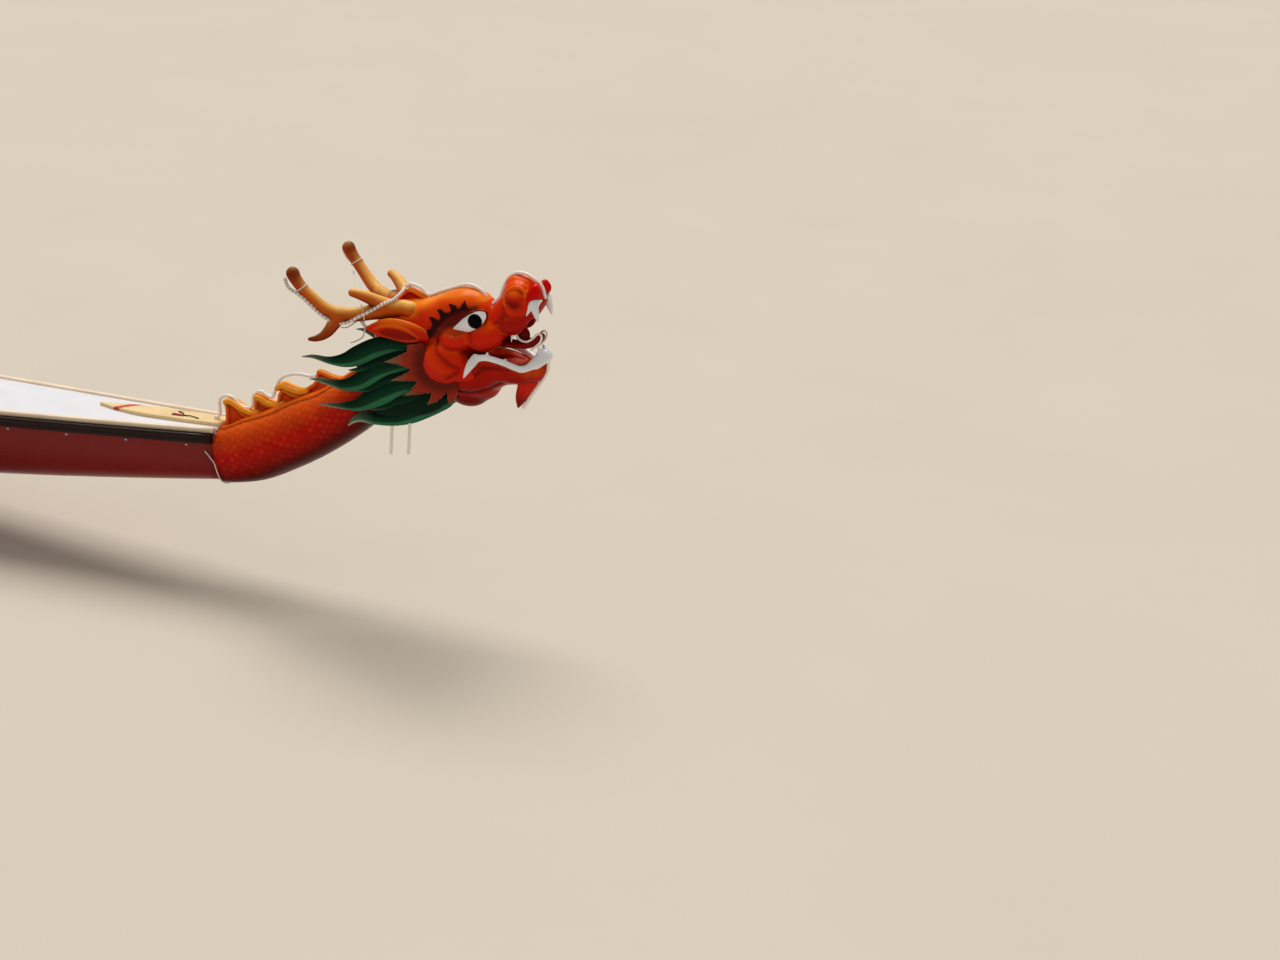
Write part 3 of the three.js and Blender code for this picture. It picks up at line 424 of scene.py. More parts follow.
def rounded_box(low, high, radius, tint):
    """A box with rounded edges, as a fine closed shape between two corners."""
    low, high = np.array(low, float), np.array(high, float)
    turn = np.linspace(0, pi / 2, BOX_EDGE_POINTS)
    half = (high[:2] - low[:2]) / 2 - radius
    middle = (high + low) / 2
    corner = [(cx * half[0], cy * half[1], start) for cx, cy, start in
              ((1, 1, 0), (-1, 1, pi / 2), (-1, -1, pi), (1, -1, 3 * pi / 2))]
    flat = np.array([(x, y, start + t) for x, y, start in corner for t in turn])
    rings = []
    for sign, base in ((-1, low[2] + radius), (1, high[2] - radius)):
        for t in (turn[::-1] if sign < 0 else turn):
            grow = radius * cos(t)
            rings.append(np.column_stack([middle[0] + flat[:, 0] + grow * np.cos(flat[:, 2]),
                                          middle[1] + flat[:, 1] + grow * np.sin(flat[:, 2]),
                                          np.full(len(flat), base + sign * radius * sin(t))]))
    return lofted(rings, tint)


def dome(centre, out, radius, height, tint, around=12):
    """A low round head, such as a rivet, that stands out along a direction."""
    out = unit(np.array(out, float))
    side = unit(np.cross(out, (1.0, 0.2, 0.1)))
    ring = circle(side, np.cross(out, side), around)
    return lofted([np.array(centre) + ring * radius * cos(max(turn, 0)) + out * height * sin(turn)
                   for turn in DOME_TURNS], tint)


# The free ends of the rope light, under the mane
HALF_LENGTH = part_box("hull_shell")[1].x
ROPE_RADIUS = 6.5
ROPE_ENDS = {"aft": (868, 895, 730), "fore": (950, 918, 745)}
ROPE_END_Y = -112
ROPE_END_DRIFT = 6
ROPE_END_POINTS = 19

for place, (x, top, bottom) in ROPE_ENDS.items():
    route = [(x - ROPE_END_DRIFT * t, ROPE_END_Y, top + (bottom - top) * t)
             for t in np.linspace(0, 1, ROPE_END_POINTS)]
    rows = [(*point, ROPE_RADIUS, ROPE_RADIUS) for point in route]
    shape = lofted(swept_rings(rows, 12, 1, round_ends=False)[0], LIGHT_TUBE)
    end = piece(f"rope_end_{place}", from_bow(shape), "light", "light_tube", f"rope_light_end_{place}")


# Clay: carved forms on a grid of distances, turned into a mesh
FAR = 80.0
TUBE_STEPS = 5
STROKE_STEPS = 6
STROKE_FADE = 12


def squared_distance(x, z, a, b):
    """Squared distance in x and z from points to the straight stretch between a and b."""
    step = b - a
    t = np.clip(((x - a[0]) * step[0] + (z - a[1]) * step[1]) / max(step @ step, 1e-6), 0, 1)
    return (x - a[0] - step[0] * t) ** 2 + (z - a[1] - step[1] * t) ** 2


class Clay:
    """A block of clay in millimetres. It is one half of a symmetric form, from Y = 0 out, unless whole."""

    def __init__(self, low, high, cell, whole=False):
        self.cell = cell
        self.whole = whole
        self.low = np.array(low, float)
        if not whole:
            self.low[1] = 0
        counts = np.ceil((np.array(high) - self.low) / cell).astype(int) + 1
        self.axes = [self.low[i] + cell * np.arange(counts[i]) for i in range(3)]
        self.field = np.full(counts, FAR, np.float32)
        self.paint = np.zeros((*counts, 3), np.float32)

    def near(self, low, high, margin):
        """The slices of the grid near a box, and the coordinates there."""
        cut = []
        for axis, a, b in zip(self.axes, low, high):
            start = int(np.clip(np.searchsorted(axis, a - margin) - 1, 0, len(axis) - 1))
            stop = int(np.clip(np.searchsorted(axis, b + margin) + 1, start + 1, len(axis)))
            cut.append(slice(start, stop))
        return tuple(cut), *np.ix_(*(axis[part] for axis, part in zip(self.axes, cut)))

    def lay_paint(self, cut, colour, share):
        """Paint over a part of the grid, by a share from 0 to 1 in each place."""
        self.paint[cut] += share[..., None] * (np.asarray(colour, np.float32) - self.paint[cut])

    def join(self, cut, distance, colour, soft):
        old = self.field[cut]
        mix = np.clip(0.5 + 0.5 * (old - distance) / soft, 0, 1)
        self.field[cut] = old * (1 - mix) + distance * mix - soft * mix * (1 - mix)
        self.lay_paint(cut, colour, mix)

    def carve(self, cut, distance, colour, soft, spill):
        old = self.field[cut]
        mix = np.clip(0.5 + 0.5 * (-distance - old) / soft, 0, 1)
        self.field[cut] = old * (1 - mix) - distance * mix + soft * mix * (1 - mix)
        self.lay_paint(cut, colour, np.clip(0.5 - distance / spill, 0, 1))

    def ball(self, centre, radii, colour, turn=(0, 0), soft=12, cut=False, spill=4):
        """An ellipsoid, joined or cut out. It is turned about Y, then about Z, in degrees."""
        reach = max(radii)
        part, x, y, z = self.near([c - reach for c in centre], [c + reach for c in centre], soft + 3 * self.cell)
        x, y, z = x - centre[0], y - centre[1], z - centre[2]
        a, b = radians(turn[0]), radians(turn[1])
        x, y = cos(b) * x + sin(b) * y, -sin(b) * x + cos(b) * y
        x, z = cos(a) * x - sin(a) * z, sin(a) * x + cos(a) * z
        k0 = np.sqrt((x / radii[0]) ** 2 + (y / radii[1]) ** 2 + (z / radii[2]) ** 2)
        k1 = np.sqrt((x / radii[0] ** 2) ** 2 + (y / radii[1] ** 2) ** 2 + (z / radii[2] ** 2) ** 2)
        distance = k0 * (k0 - 1) / np.maximum(k1, 1e-6)
        if cut:
            self.carve(part, distance, colour, soft, spill)
        else:
            self.join(part, distance, colour, soft)

    def rope(self, rows, colour, soft=8):
        """A tube through rows of x, y, z, half width across Y, half height."""
        rows = smooth_rows(rows, TUBE_STEPS)
        reach = rows[:, 3:].max()
        low, high = rows[:, :3].min(0) - reach, rows[:, :3].max(0) + reach
        part, x, y, z = self.near(low, high, soft + 3 * self.cell)
        distance = np.full((x.size, y.size, z.size), FAR, np.float32)
        for a, b in zip(rows, rows[1:]):
            margin = max(a[3:].max(), b[3:].max()) + soft + 3 * self.cell
            small, sx, sy, sz = self.near(np.minimum(a[:3], b[:3]), np.maximum(a[:3], b[:3]), margin)
            step = b[:3] - a[:3]
            t = ((sx - a[0]) * step[0] + (sy - a[1]) * step[1] + (sz - a[2]) * step[2]) / max(step @ step, 1e-6)
            t = np.clip(t, 0, 1)
            wide, tall = a[3] + (b[3] - a[3]) * t, a[4] + (b[4] - a[4]) * t
            dx, dy, dz = sx - a[0] - step[0] * t, sy - a[1] - step[1] * t, sz - a[2] - step[2] * t
            upright = np.sqrt(dx * dx + dz * dz)
            k0 = np.sqrt((upright / tall) ** 2 + (dy / wide) ** 2)
            k1 = np.sqrt((upright / tall ** 2) ** 2 + (dy / wide ** 2) ** 2)
            here = k0 * (k0 - 1) / np.maximum(k1, 1e-6)
            window = tuple(slice(max(s.start, p.start) - p.start, min(s.stop, p.stop) - p.start)
                           for s, p in zip(small, part))
            inner = tuple(slice(w.start + p.start - s.start, w.stop + p.start - s.start)
                          for w, p, s in zip(window, part, small))
            distance[window] = np.minimum(distance[window], here[inner])
        self.join(part, distance, colour, soft)

    def stroke(self, points, width, height, colour, amount, out_from):
        """A line drawn on the side from x, z points: raised by height, or grooved, and painted."""
        line = smooth_rows(points, STROKE_STEPS)
        low = [line[:, 0].min(), out_from, line[:, 1].min()]
        high = [line[:, 0].max(), self.axes[1][-1], line[:, 1].max()]
        part, x, y, z = self.near(low, high, 3 * width)
        x, z = x[:, :, 0], z[:, 0, :]
        near = np.full((x.shape[0], z.shape[1]), 1e9)
        for k, (a, b) in enumerate(zip(line, line[1:])):
            place = (k + 0.5) / (len(line) - 1)
            thin = width * (0.35 + 0.65 * min(1, 4 * place, 4 * (1 - place)))
            near = np.minimum(near, squared_distance(x, z, a, b) / thin ** 2)
        weight = np.exp(-near)[:, None, :] * np.clip((y - out_from) / STROKE_FADE + 1, 0, 1)
        self.field[part] -= (height * weight).astype(np.float32)
        self.lay_paint(part, colour, amount * np.clip(1.6 * weight, 0, 1))

    def spray(self, centre, radii, colour, amount):
        """A soft patch of paint."""
        reach = 1.6 * max(radii)
        part, x, y, z = self.near([c - reach for c in centre], [c + reach for c in centre], 0)
        square = (((x - centre[0]) / radii[0]) ** 2 + ((y - centre[1]) / radii[1]) ** 2
                  + ((z - centre[2]) / radii[2]) ** 2)
        self.lay_paint(part, colour, amount * np.exp(-square ** 1.5))

    def mesh(self):
        """The surface of the clay as a Shape, one point for each cell that it passes through."""
        field, low = self.field, self.low.copy()
        if not self.whole:
            field = np.concatenate([field[:, :0:-1], field], axis=1)
            low[1] = -self.cell * (self.field.shape[1] - 1)
        points, quads = surface_net(field, low, self.cell)
        points = relaxed(points, quads)
        return Shape(points, quads.tolist(), self.paint_at(points))

    def paint_at(self, points):
        places = points.copy()
        if not self.whole:
            places[:, 1] = abs(places[:, 1])
        return self.between_cells(self.paint, places)

    def between_cells(self, values, places):
        """The grid's values mixed at places in the block."""
        places = (places - self.low) / self.cell
        base = np.clip(places.astype(int), 0, np.array(self.field.shape) - 2)
        share = places - base
        return sum((np.prod(np.where(corner, share, 1 - share), axis=1) * values[tuple((base + corner).T)].T).T
                   for corner in CORNERS)


CORNERS = np.array([(i, j, k) for i in (0, 1) for j in (0, 1) for k in (0, 1)])
CELL_EDGES = [(a, b) for a in CORNERS for b in CORNERS if (b - a).sum() == 1 and (b >= a).all()]


def surface_net(field, low, cell):
    """Points and quads where a field of distances changes sign."""
    inside = field < 0
    counts = np.array(field.shape) - 1
    number_inside = sum(inside[i:i + counts[0], j:j + counts[1], k:k + counts[2]].astype(np.int8)
                        for i, j, k in CORNERS)
    crossed = (number_inside > 0) & (number_inside < 8)
    number = np.full(crossed.shape, -1)
    number[crossed] = np.arange(crossed.sum())
    at = np.argwhere(crossed)
    total = np.zeros((len(at), 3))
    hits = np.zeros(len(at))
    for a, b in CELL_EDGES:
        first, second = field[tuple((at + a).T)], field[tuple((at + b).T)]
        cross = (first < 0) != (second < 0)
        share = (first / np.where(cross, first - second, 1))[:, None]
        total += np.where(cross[:, None], a + share * (b - a), 0)
        hits += cross
    points = low + cell * (at + total / hits[:, None])
    quads = []
    for axis in range(3):
        u, v = np.eye(3, dtype=int)[[(axis + 1) % 3, (axis + 2) % 3]]
        first = inside[tuple(slice(0, -1) if i == axis else slice(1, -1) for i in range(3))]
        second = inside[tuple(slice(1, None) if i == axis else slice(1, -1) for i in range(3))]
        place = np.argwhere(first != second) + (u + v)
        quad = np.stack([number[tuple((place - step).T)] for step in (0 * u, u, u + v, v)], axis=1)
        outward = inside[tuple(place.T)]
        quads.append(np.where(outward[:, None], quad, quad[:, ::-1]))
    return points, np.vstack(quads)


def summed(index, values, count):
    """The sum of the rows that belong to each index."""
    return np.stack([np.bincount(index, column, count) for column in values.T], axis=1)


def neighbour_mean(points, quads):
    """The mean of each point's neighbours along the quads' edges."""
    total = np.zeros_like(points)
    for shift in (1, -1):
        total += summed(quads.ravel(), points[np.roll(quads, shift, axis=1).ravel()], len(points))
    count = 2 * np.bincount(quads.ravel(), minlength=len(points))
    return total / np.maximum(count, 1)[:, None]


# Toward the neighbours, then half as far back
RELAX_STEPS = (0.6, -0.3)


def relaxed(points, quads):
    for step in RELAX_STEPS:
        points = points + step * (neighbour_mean(points, quads) - points)
    return points


def point_normals(points, quads):
    a, b, c, d = (points[quads[:, i]] for i in range(4))
    face = np.cross(c - a, d - b)
    total = np.zeros_like(points)
    for i in range(4):
        total += summed(quads[:, i], face, len(points))
    return unit(total)


CREASE_SIZE = 2.0


def airbrush_and_painted_light(shape, top, shade_paint, top_amount, crease_shade_amount, reach=6, underside_shade_amount=0.65):
    """Lighter paint where a form faces up, partly airbrushed paint and partly painted highlight, and darker paint as
    painted shade in its creases and underneath.
    """
    quads = np.array(shape.faces)
    normal = point_normals(shape.points, quads)
    wide = shape.points
    for _ in range(reach):
        wide = neighbour_mean(wide, quads)
    hollow = np.einsum("ij,ij->i", wide - shape.points, normal)
    # Painted highlight on the tops, painted shade underneath and in the hollows
    up = np.clip((normal[:, 2] - 0.15) / 0.75, 0, 1)[:, None] * top_amount
    down = np.clip(hollow / CREASE_SIZE, 0, 1)[:, None] * crease_shade_amount
    low = np.clip((-normal[:, 2] - 0.1) / 0.8, 0, 1)[:, None] * underside_shade_amount
    tint = shape.tint + up * (top - shape.tint)
    tint = tint + low * (shade_paint - tint)
    return Shape(shape.points, shape.faces, tint + down * (shade_paint - tint))


# Hull: a superellipse section between a parabolic beam, a rising sheer and a rockered keel
HULL_LOW, HULL_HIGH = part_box("hull_shell")
MID_HALF_BEAM = HULL_HIGH.y
MID_KEEL = HULL_LOW.z
END_HALF_BEAM = 0.104
MID_SHEER = 0.410
END_SHEER = 0.665
END_KEEL = 0.430
SECTION_POWER = 2.6
KEEL_POWER = 2.6
FLARE = 0.12
WALL = 0.025
BULKHEAD = 5.470
COCKPIT_END = 5.400
DECK_ARCH = 0.060
DECK_CAMBER = 0.060
DECK_INSET = 0.024
DECK_THICKNESS = 0.010
DECK_ROLL = 0.004
DECK_END_GAP = 0.003
DECK_STATIONS = 60
DECK_POINTS = 25
ARCH_STATIONS = 12
GAP = 0.0003
END_FILL_DROP = 0.004
SECTION_POINTS = 26
HULL_STATIONS = 150
BULKHEAD_SLANT = 0.008


def span(x):
    return np.minimum(np.abs(x) / HALF_LENGTH, 1)


def half_beam(x):
    return END_HALF_BEAM + (MID_HALF_BEAM - END_HALF_BEAM) * (1 - span(x) ** 2)


def sheer(x):
    return MID_SHEER + (END_SHEER - MID_SHEER) * span(x) ** 2


def keel(x):
    return MID_KEEL + (END_KEEL - MID_KEEL) * span(x) ** KEEL_POWER


def camber(x):
    return DECK_CAMBER * (half_beam(x) / half_beam(COCKPIT_END)) ** 2


def deck_top(x, y=0.0):
    across = np.clip(y / (half_beam(x) - DECK_INSET), -1, 1)
    return sheer(x) + GAP + DECK_THICKNESS + camber(x) * (1 - across ** 2)


def hull_y(x, z, inset=0.0):
    """Half width of the hull's outside at a height."""
    rise = np.clip((z - keel(x) - inset) / (sheer(x) - keel(x) - inset), 0, 1)
    reach = (1 - (1 - rise) ** SECTION_POWER) ** (1 / SECTION_POWER)
    return (half_beam(x) - inset) * ((1 - FLARE) * reach + FLARE * rise)


def section(x, inset=0.0):
    """Port half of a hull section from the keel up to the sheer, as y, z points."""
    angle = np.linspace(0, pi / 2, SECTION_POINTS)
    rise = 1 - np.cos(angle) ** (2 / SECTION_POWER)
    rise[-1] = 1
    z = keel(x) + inset + (sheer(x) - keel(x) - inset) * rise
    return np.column_stack([hull_y(x, z, inset), z])


def hull_ring(x, hollow):
    """Outside from port sheer down and up to starboard, then back along the inside or under the deck."""
    outer = section(x)
    if hollow:
        inner = section(x, WALL)
    else:
        y = np.linspace(0, half_beam(x) - WALL, SECTION_POINTS)
        inner = np.column_stack([y, np.full(SECTION_POINTS, sheer(x) - END_FILL_DROP)])
    ring = [(x, y, z) for y, z in outer[::-1]] + [(x, -y, z) for y, z in outer[1:]]
    ring += [(x, -y, z) for y, z in inner[::-1]] + [(x, y, z) for y, z in inner[1:]]
    return np.array(ring)


def hull_shell():
    u = np.linspace(-1, 1, HULL_STATIONS)
    xs = HALF_LENGTH * np.sin(u * pi / 2) * 0.5 + HALF_LENGTH * u * 0.5
    xs = np.unique(np.concatenate([xs[abs(abs(xs) - BULKHEAD) > 0.01], [-BULKHEAD, BULKHEAD]]))
    rings = []
    for x in xs:
        if abs(abs(x) - BULKHEAD) < 1e-6:
            pair = [hull_ring(x + np.sign(x) * BULKHEAD_SLANT, False), hull_ring(x, True)]
            rings += pair if x < 0 else pair[::-1]
        else:
            rings.append(hull_ring(x, abs(x) < BULKHEAD))
    outside = 2 * SECTION_POINTS - 1
    tint = np.array([HULL_RED] * outside + [HULL_WHITE] * outside)
    return lofted(np.array(rings)[:, ::-1], tint[::-1][None])


def deck(end):
    """A cambered slab from its curved cockpit edge to the hull's end, with a rolled edge."""
    xs = np.linspace(COCKPIT_END, HALF_LENGTH - DECK_END_GAP, DECK_STATIONS)
    across = np.linspace(-1, 1, DECK_POINTS)
    rings = []
    for k, x in enumerate(xs):
        half = half_beam(x) - DECK_INSET
        shift = DECK_ARCH * (1 - across ** 2) * max(0, 1 - k / ARCH_STATIONS)
        top = deck_top(x, half * across)
        low = top - DECK_THICKNESS
        roll = DECK_ROLL if k == 0 else 0.0
        upper = np.column_stack([end * (x + shift + roll), end * half * across, top - roll])
        lower = np.column_stack([end * (x + shift), end * half * across, low])[::-1]
        rings.append(np.vstack([lower, upper]))
    return lofted(rings, HULL_WHITE)


SHEER_REACH = 0.9995
SHEER_STATIONS = 140


def sheer_strip(side, section_points, tint):
    """A moulding along the sheer: its section is y from the half beam and z from the sheer."""
    profile = np.array(section_points)
    rings = np.array([np.column_stack([np.full(len(profile), x), side * (half_beam(x) + profile[:, 0]),
                                       sheer(x) + profile[:, 1]])
                      for x in HALF_LENGTH * SHEER_REACH * np.linspace(-1, 1, SHEER_STATIONS)])
    return lofted(rings[:, ::-1] if side > 0 else rings, tint)


RAIL_SECTION = [(0.0008, -0.001), (0.020, -0.0015), (0.026, -0.005), (0.028, -0.011), (0.0275, -0.018),
                (0.0235, -0.0225), (0.0275, -0.027), (0.028, -0.035), (0.025, -0.041), (0.019, -0.0445),
                (0.0008, -0.045)]
CAP_SECTION = [(-0.022, 0.0005), (-0.022, 0.014), (-0.0205, 0.018), (-0.017, 0.0202), (0.000, 0.0202),
               (0.0035, 0.018), (0.005, 0.014), (0.005, 0.0005)]
RIVET_SPAN = (-7.2, 7.65)
RIVET_PITCH = 0.285
RIVET_DROP = 0.062
# Radius and height of rivets and bolt heads
RIVET_HEAD = (0.0075, 0.004)
BENCH_BOLT = (0.008, 0.003)
SEAT_BOLT = (0.009, 0.005)

# Scales painted along the hull: rows with the first scale's x, height under the sheer and tilt
SCALE_ROWS = [(5.40, 0.118, 0.0), (5.26, 0.205, -0.45)]
SCALE_PITCH = 0.285
SCALE_LENGTH = 0.058
SCALE_RIM = 30


def hull_scale(x, drop, tilt, side):
    """A gold scale on the hull's side, round behind, with a point to the bow and a small hook under it."""
    angle = np.arange(SCALE_RIM) / SCALE_RIM * 2 * pi - pi
    tip = 0.62 * np.exp(-(angle / 0.26) ** 2) + 0.24 * np.exp(-((angle + 1.35) / 0.28) ** 2)
    reach = SCALE_LENGTH * (1 + tip)
    z0 = sheer(x) - drop
    rings = []
    for share, proud in ((1.0, -0.002), (1.0, 0.0012), (0.55, 0.0016), (0.12, 0.0016)):
        px = x + share * reach * np.cos(angle + tilt)
        pz = z0 + share * reach * np.sin(angle + tilt)
        rings.append(np.column_stack([px, side * (hull_y(px, pz) + proud), pz]))
    shape = lofted(rings, GOLD)
    return shape if side > 0 else shape.turned()


def hull_scales():
    shapes = []
    for first, drop, tilt in SCALE_ROWS:
        for x in np.arange(first, -first - 0.3, -SCALE_PITCH):
            shapes += [hull_scale(x, drop, tilt, side) for side in SIDES.values()]
    return merged(shapes)


def rivets():
    places = [(x, sheer(x) - RIVET_DROP) for x in np.arange(*RIVET_SPAN, RIVET_PITCH)]
    return merged(dome((x, side * hull_y(x, z), z), (0, side, -0.15), *RIVET_HEAD, STEEL)
                  for x, z in places for side in SIDES.values())


piece("hull_shell_skin", hull_shell(), "hull", "hull_red", "hull_shell")
piece("hull_scales", hull_scales(), "gold", "horn_yellow")
piece("hull_rivets", rivets(), "steel", "steel")
piece("bow_deck_skin", deck(1), "white", "deck_white", "bow_deck")
piece("stern_deck_skin", deck(-1), "white", "deck_white", "stern_deck")
for name, side in SIDES.items():
    piece(f"rail_{name}_strip", sheer_strip(side, RAIL_SECTION, RAIL), "rail", "rail_brown", f"rail_{name}")
    piece(f"cap_{name}_strip", sheer_strip(side, CAP_SECTION, CREAM), "cream", "cap_cream", f"cap_{name}")


# Benches, risers and the foot frame
THWART_COUNT = 10
THWART_FIRST = -3.5
THWART_SPACING = 0.8
THWART_WIDTH = 0.200
THWART_THICKNESS = 0.022
THWART_DROP = 0.070
POST_RADIUS = 0.016
RISER_WIDTH = 0.034
RISER_HEIGHT = 0.040
# How far benches and risers reach into the hull's wall
WALL_HOLD = 0.010
RIB_WIDTH = 0.040
FOOT_RIB_HALF = 0.234
RIB_HEIGHT = 0.022
RIB_POINTS = 16
RISER_REACH = 4.60
RISER_STATIONS = 60
RISER_EASE = 0.005
STRINGER_SPAN = (-3.36, 4.59)
STRINGER_STATIONS = 50
STRINGER_WIDTH = 0.090
BENCH_DISH = 0.006
COLLAR_RADIUS = POST_RADIUS * 1.9
BAR_EASE = 0.12


def bench(x):
    """A moulded seat plank with soft edges, dished for two, on its middle post."""
    top = sheer(x) - THWART_DROP
    low = top - THWART_THICKNESS
    reach = float(hull_y(x, low, WALL)) + WALL_HOLD
    across = np.linspace(-reach, reach, 31)
    half = THWART_WIDTH / 2
    profile = [(-half, 0.3), (-half, 0.7), (-half + 0.005, 0.95), (-half + 0.012, 1), (-half / 3, 1),
               (half / 3, 1), (half - 0.012, 1), (half - 0.005, 0.95), (half, 0.7), (half, 0.3),
               (half - 0.006, 0.04), (half - 0.014, 0), (-half + 0.014, 0), (-half + 0.006, 0.04)]
    rings = []
    for y in across:
        dish = BENCH_DISH * np.exp(-((abs(y) - reach * 0.55) / (0.3 * reach)) ** 2)
        rings.append([(x + px, y, low + share * THWART_THICKNESS
                       - (dish if share > 0.9 else 0) * cos(px / half * pi / 2)) for px, share in profile])
    plank = lofted(np.array(rings)[:, ::-1], HULL_WHITE)
    post = round_bar((x, 0, keel(x) + WALL * 0.6), (x, 0, low + 0.004), POST_RADIUS, HULL_WHITE)
    collar = round_bar((x, 0, low - 0.012), (x, 0, low + 0.004), COLLAR_RADIUS, HULL_WHITE)
    foot = round_bar((x, 0, keel(x) + WALL * 0.6), (x, 0, keel(x) + WALL + 0.028), COLLAR_RADIUS, HULL_WHITE)
    bolts = [dome((x + px, side * (reach - 0.040), top - 0.001), (0, 0, 1), *BENCH_BOLT, STEEL)
             for px in (-0.06, 0.06) for side in SIDES.values()]
    return merged([plank, post, collar, foot]), merged(bolts)


def round_bar(start, stop, radius, tint, around=24, bevel=0.0):
    """A straight round bar between two points, its ends eased by the bevel or by a share of the radius."""
    start, stop = np.array(start, float), np.array(stop, float)
    ahead = unit(stop - start)
    side = unit(np.cross(ahead, (0.3, 1.0, 0.2) if abs(ahead[1]) < 0.9 else (1.0, 0.2, 0.1)))
    ring = circle(side, np.cross(ahead, side), around)
    bevel = bevel or radius * BAR_EASE
    return lofted([start + ring * (radius - bevel), start + ahead * bevel + ring * radius,
                   stop - ahead * bevel + ring * radius, stop + ring * (radius - bevel)], tint)


def riser(side):
    rings = []
    for x in np.linspace(-RISER_REACH, RISER_REACH, RISER_STATIONS):
        top = sheer(x) - THWART_DROP - THWART_THICKNESS - 0.0005
        low = top - RISER_HEIGHT
        inner = hull_y(x, top, WALL) - RISER_WIDTH
        corner = [(hull_y(x, low, WALL) + WALL_HOLD, low), (hull_y(x, top, WALL) + WALL_HOLD, top),
                  (inner + RISER_EASE, top), (inner, top - RISER_EASE), (inner, low + RISER_EASE),
                  (inner + RISER_EASE, low)]
        rings.append([(x, side * y, z) for y, z in corner])
    rings = np.array(rings)
    return lofted(rings[:, ::-1] if side < 0 else rings, HULL_WHITE)


def foot_frame():
    """A stringer along the bottom, and one rounded foot rib ahead of each bench."""
    half = STRINGER_WIDTH / 2
    rings = []
    for x in np.linspace(*STRINGER_SPAN, STRINGER_STATIONS):
        low, high = keel(x) + WALL * 0.5, keel(x) + WALL + RIB_HEIGHT
        rings.append([(x, -half, low), (x, half, low), (x, half, high - 0.005), (x, half - 0.006, high),
                      (x, -half + 0.006, high), (x, -half, high - 0.005)])
    shapes = [lofted(rings, HULL_WHITE)]
    for k in range(THWART_COUNT):
        x = THWART_FIRST + (k + 0.5) * THWART_SPACING
        low = keel(x) + WALL
        span_y = min(FOOT_RIB_HALF, float(hull_y(x, low)) - 0.012)
        rib = [(x, y, low + 0.5 * RIB_HEIGHT + 0.004, RIB_WIDTH / 2, RIB_HEIGHT * 0.6 + 0.004)
               for y in np.linspace(-span_y, span_y, 9)]
        shapes.append(cross_rib(rib))
    return merged(shapes)


def cross_rib(rows):
    """A rounded batten across the boat, through rows of x, y, z, half width, half height."""
    angle = np.arange(RIB_POINTS) / RIB_POINTS * 2 * pi
    bow, rise = (np.sign(part) * np.abs(part) ** 0.5 for part in (np.cos(angle), np.sin(angle)))
    rings = np.array([np.column_stack([x + wide * bow, np.full(RIB_POINTS, y), z + high * rise])
                      for x, y, z, wide, high in rows])
    return lofted(rings[:, ::-1], HULL_WHITE)


bench_bolts = []
for k in range(THWART_COUNT):
    plank, bolts = bench(THWART_FIRST + k * THWART_SPACING)
    piece(f"bench_{k + 1:02d}", plank, "white", "seat_white", f"thwart_{k + 1:02d}")
    bench_bolts.append(bolts)
piece("bench_bolts", merged(bench_bolts), "steel", "steel")
for name, side in SIDES.items():
    piece(f"riser_{name}_rail", riser(side), "white", "seat_white", f"riser_{name}")
piece("foot_ribs", foot_frame(), "white", "seat_white", "foot_frame")


# On the bow deck: the drummer's seat base and the board that carries the head
SEAT_X = 6.140
# The foot and the block on it: half length, half width, bottom, top and edge radius
SEAT_BLOCKS = [(0.170, 0.105, -0.006, 0.028, 0.010), (0.145, 0.065, 0.020, 0.075, 0.012)]
SEAT_BOLTS_AT = [(x, y) for x in (-0.15, 0.15) for y in (-0.085, 0.085)]
BOARD_TIP = 7.110
BOARD_THICKNESS = 0.014
BOARD_SINK = 0.008
BOARD_POINTS = 13
BOARD_ROWS = [(0.0, 0.003), (0.03, 0.012), (0.09, 0.030), (0.20, 0.050), (0.33, 0.056), (0.639, 0.052)]
BAND_AT = 0.135
BAND_WIDTH = 0.022
BAND_SLANT = 0.9


def seat_base():
    z = sheer(SEAT_X) + camber(SEAT_X)
    blocks = [rounded_box((SEAT_X - long, -wide, z + low), (SEAT_X + long, wide, z + high), radius, BLACK)
              for long, wide, low, high, radius in SEAT_BLOCKS]
    bolts = [dome((SEAT_X + x, y, z + 0.027), (0, 0, 1), *SEAT_BOLT, STEEL) for x, y in SEAT_BOLTS_AT]
    return merged(blocks), merged(bolts)


def board():
    """A pale board with a pointed tip and a slanted painted band."""
    across = np.linspace(-1, 1, BOARD_POINTS)
    rings, tints = [], []
    for ahead, half in smooth_rows(BOARD_ROWS, 14):
        x = BOARD_TIP + ahead
        high = sheer(x) + camber(x) + DECK_THICKNESS + BOARD_THICKNESS
        low = high - BOARD_THICKNESS - BOARD_SINK
        y = half * across
        here = np.full(BOARD_POINTS, x)
        rings.append(np.vstack([np.column_stack([here, y, high - 0.003 * across ** 8])[::-1],
                                np.column_stack([here, y, np.full(BOARD_POINTS, low)])]))
        band = abs(ahead - BAND_AT - BAND_SLANT * y) < BAND_WIDTH
        tint = np.where(band[:, None], BAND_RED, BOARD)
        tints.append(np.vstack([tint[::-1], tint]))
    return lofted(np.array(rings)[:, ::-1], np.array(tints)[:, ::-1])


base, base_bolts = seat_base()
piece("seat_base_block", base, "black", "base_black", "drummer_seat_base")
piece("seat_base_bolts", base_bolts, "steel", "steel")
piece("board_plank", board(), "board", "board_wood", "mounting_board")


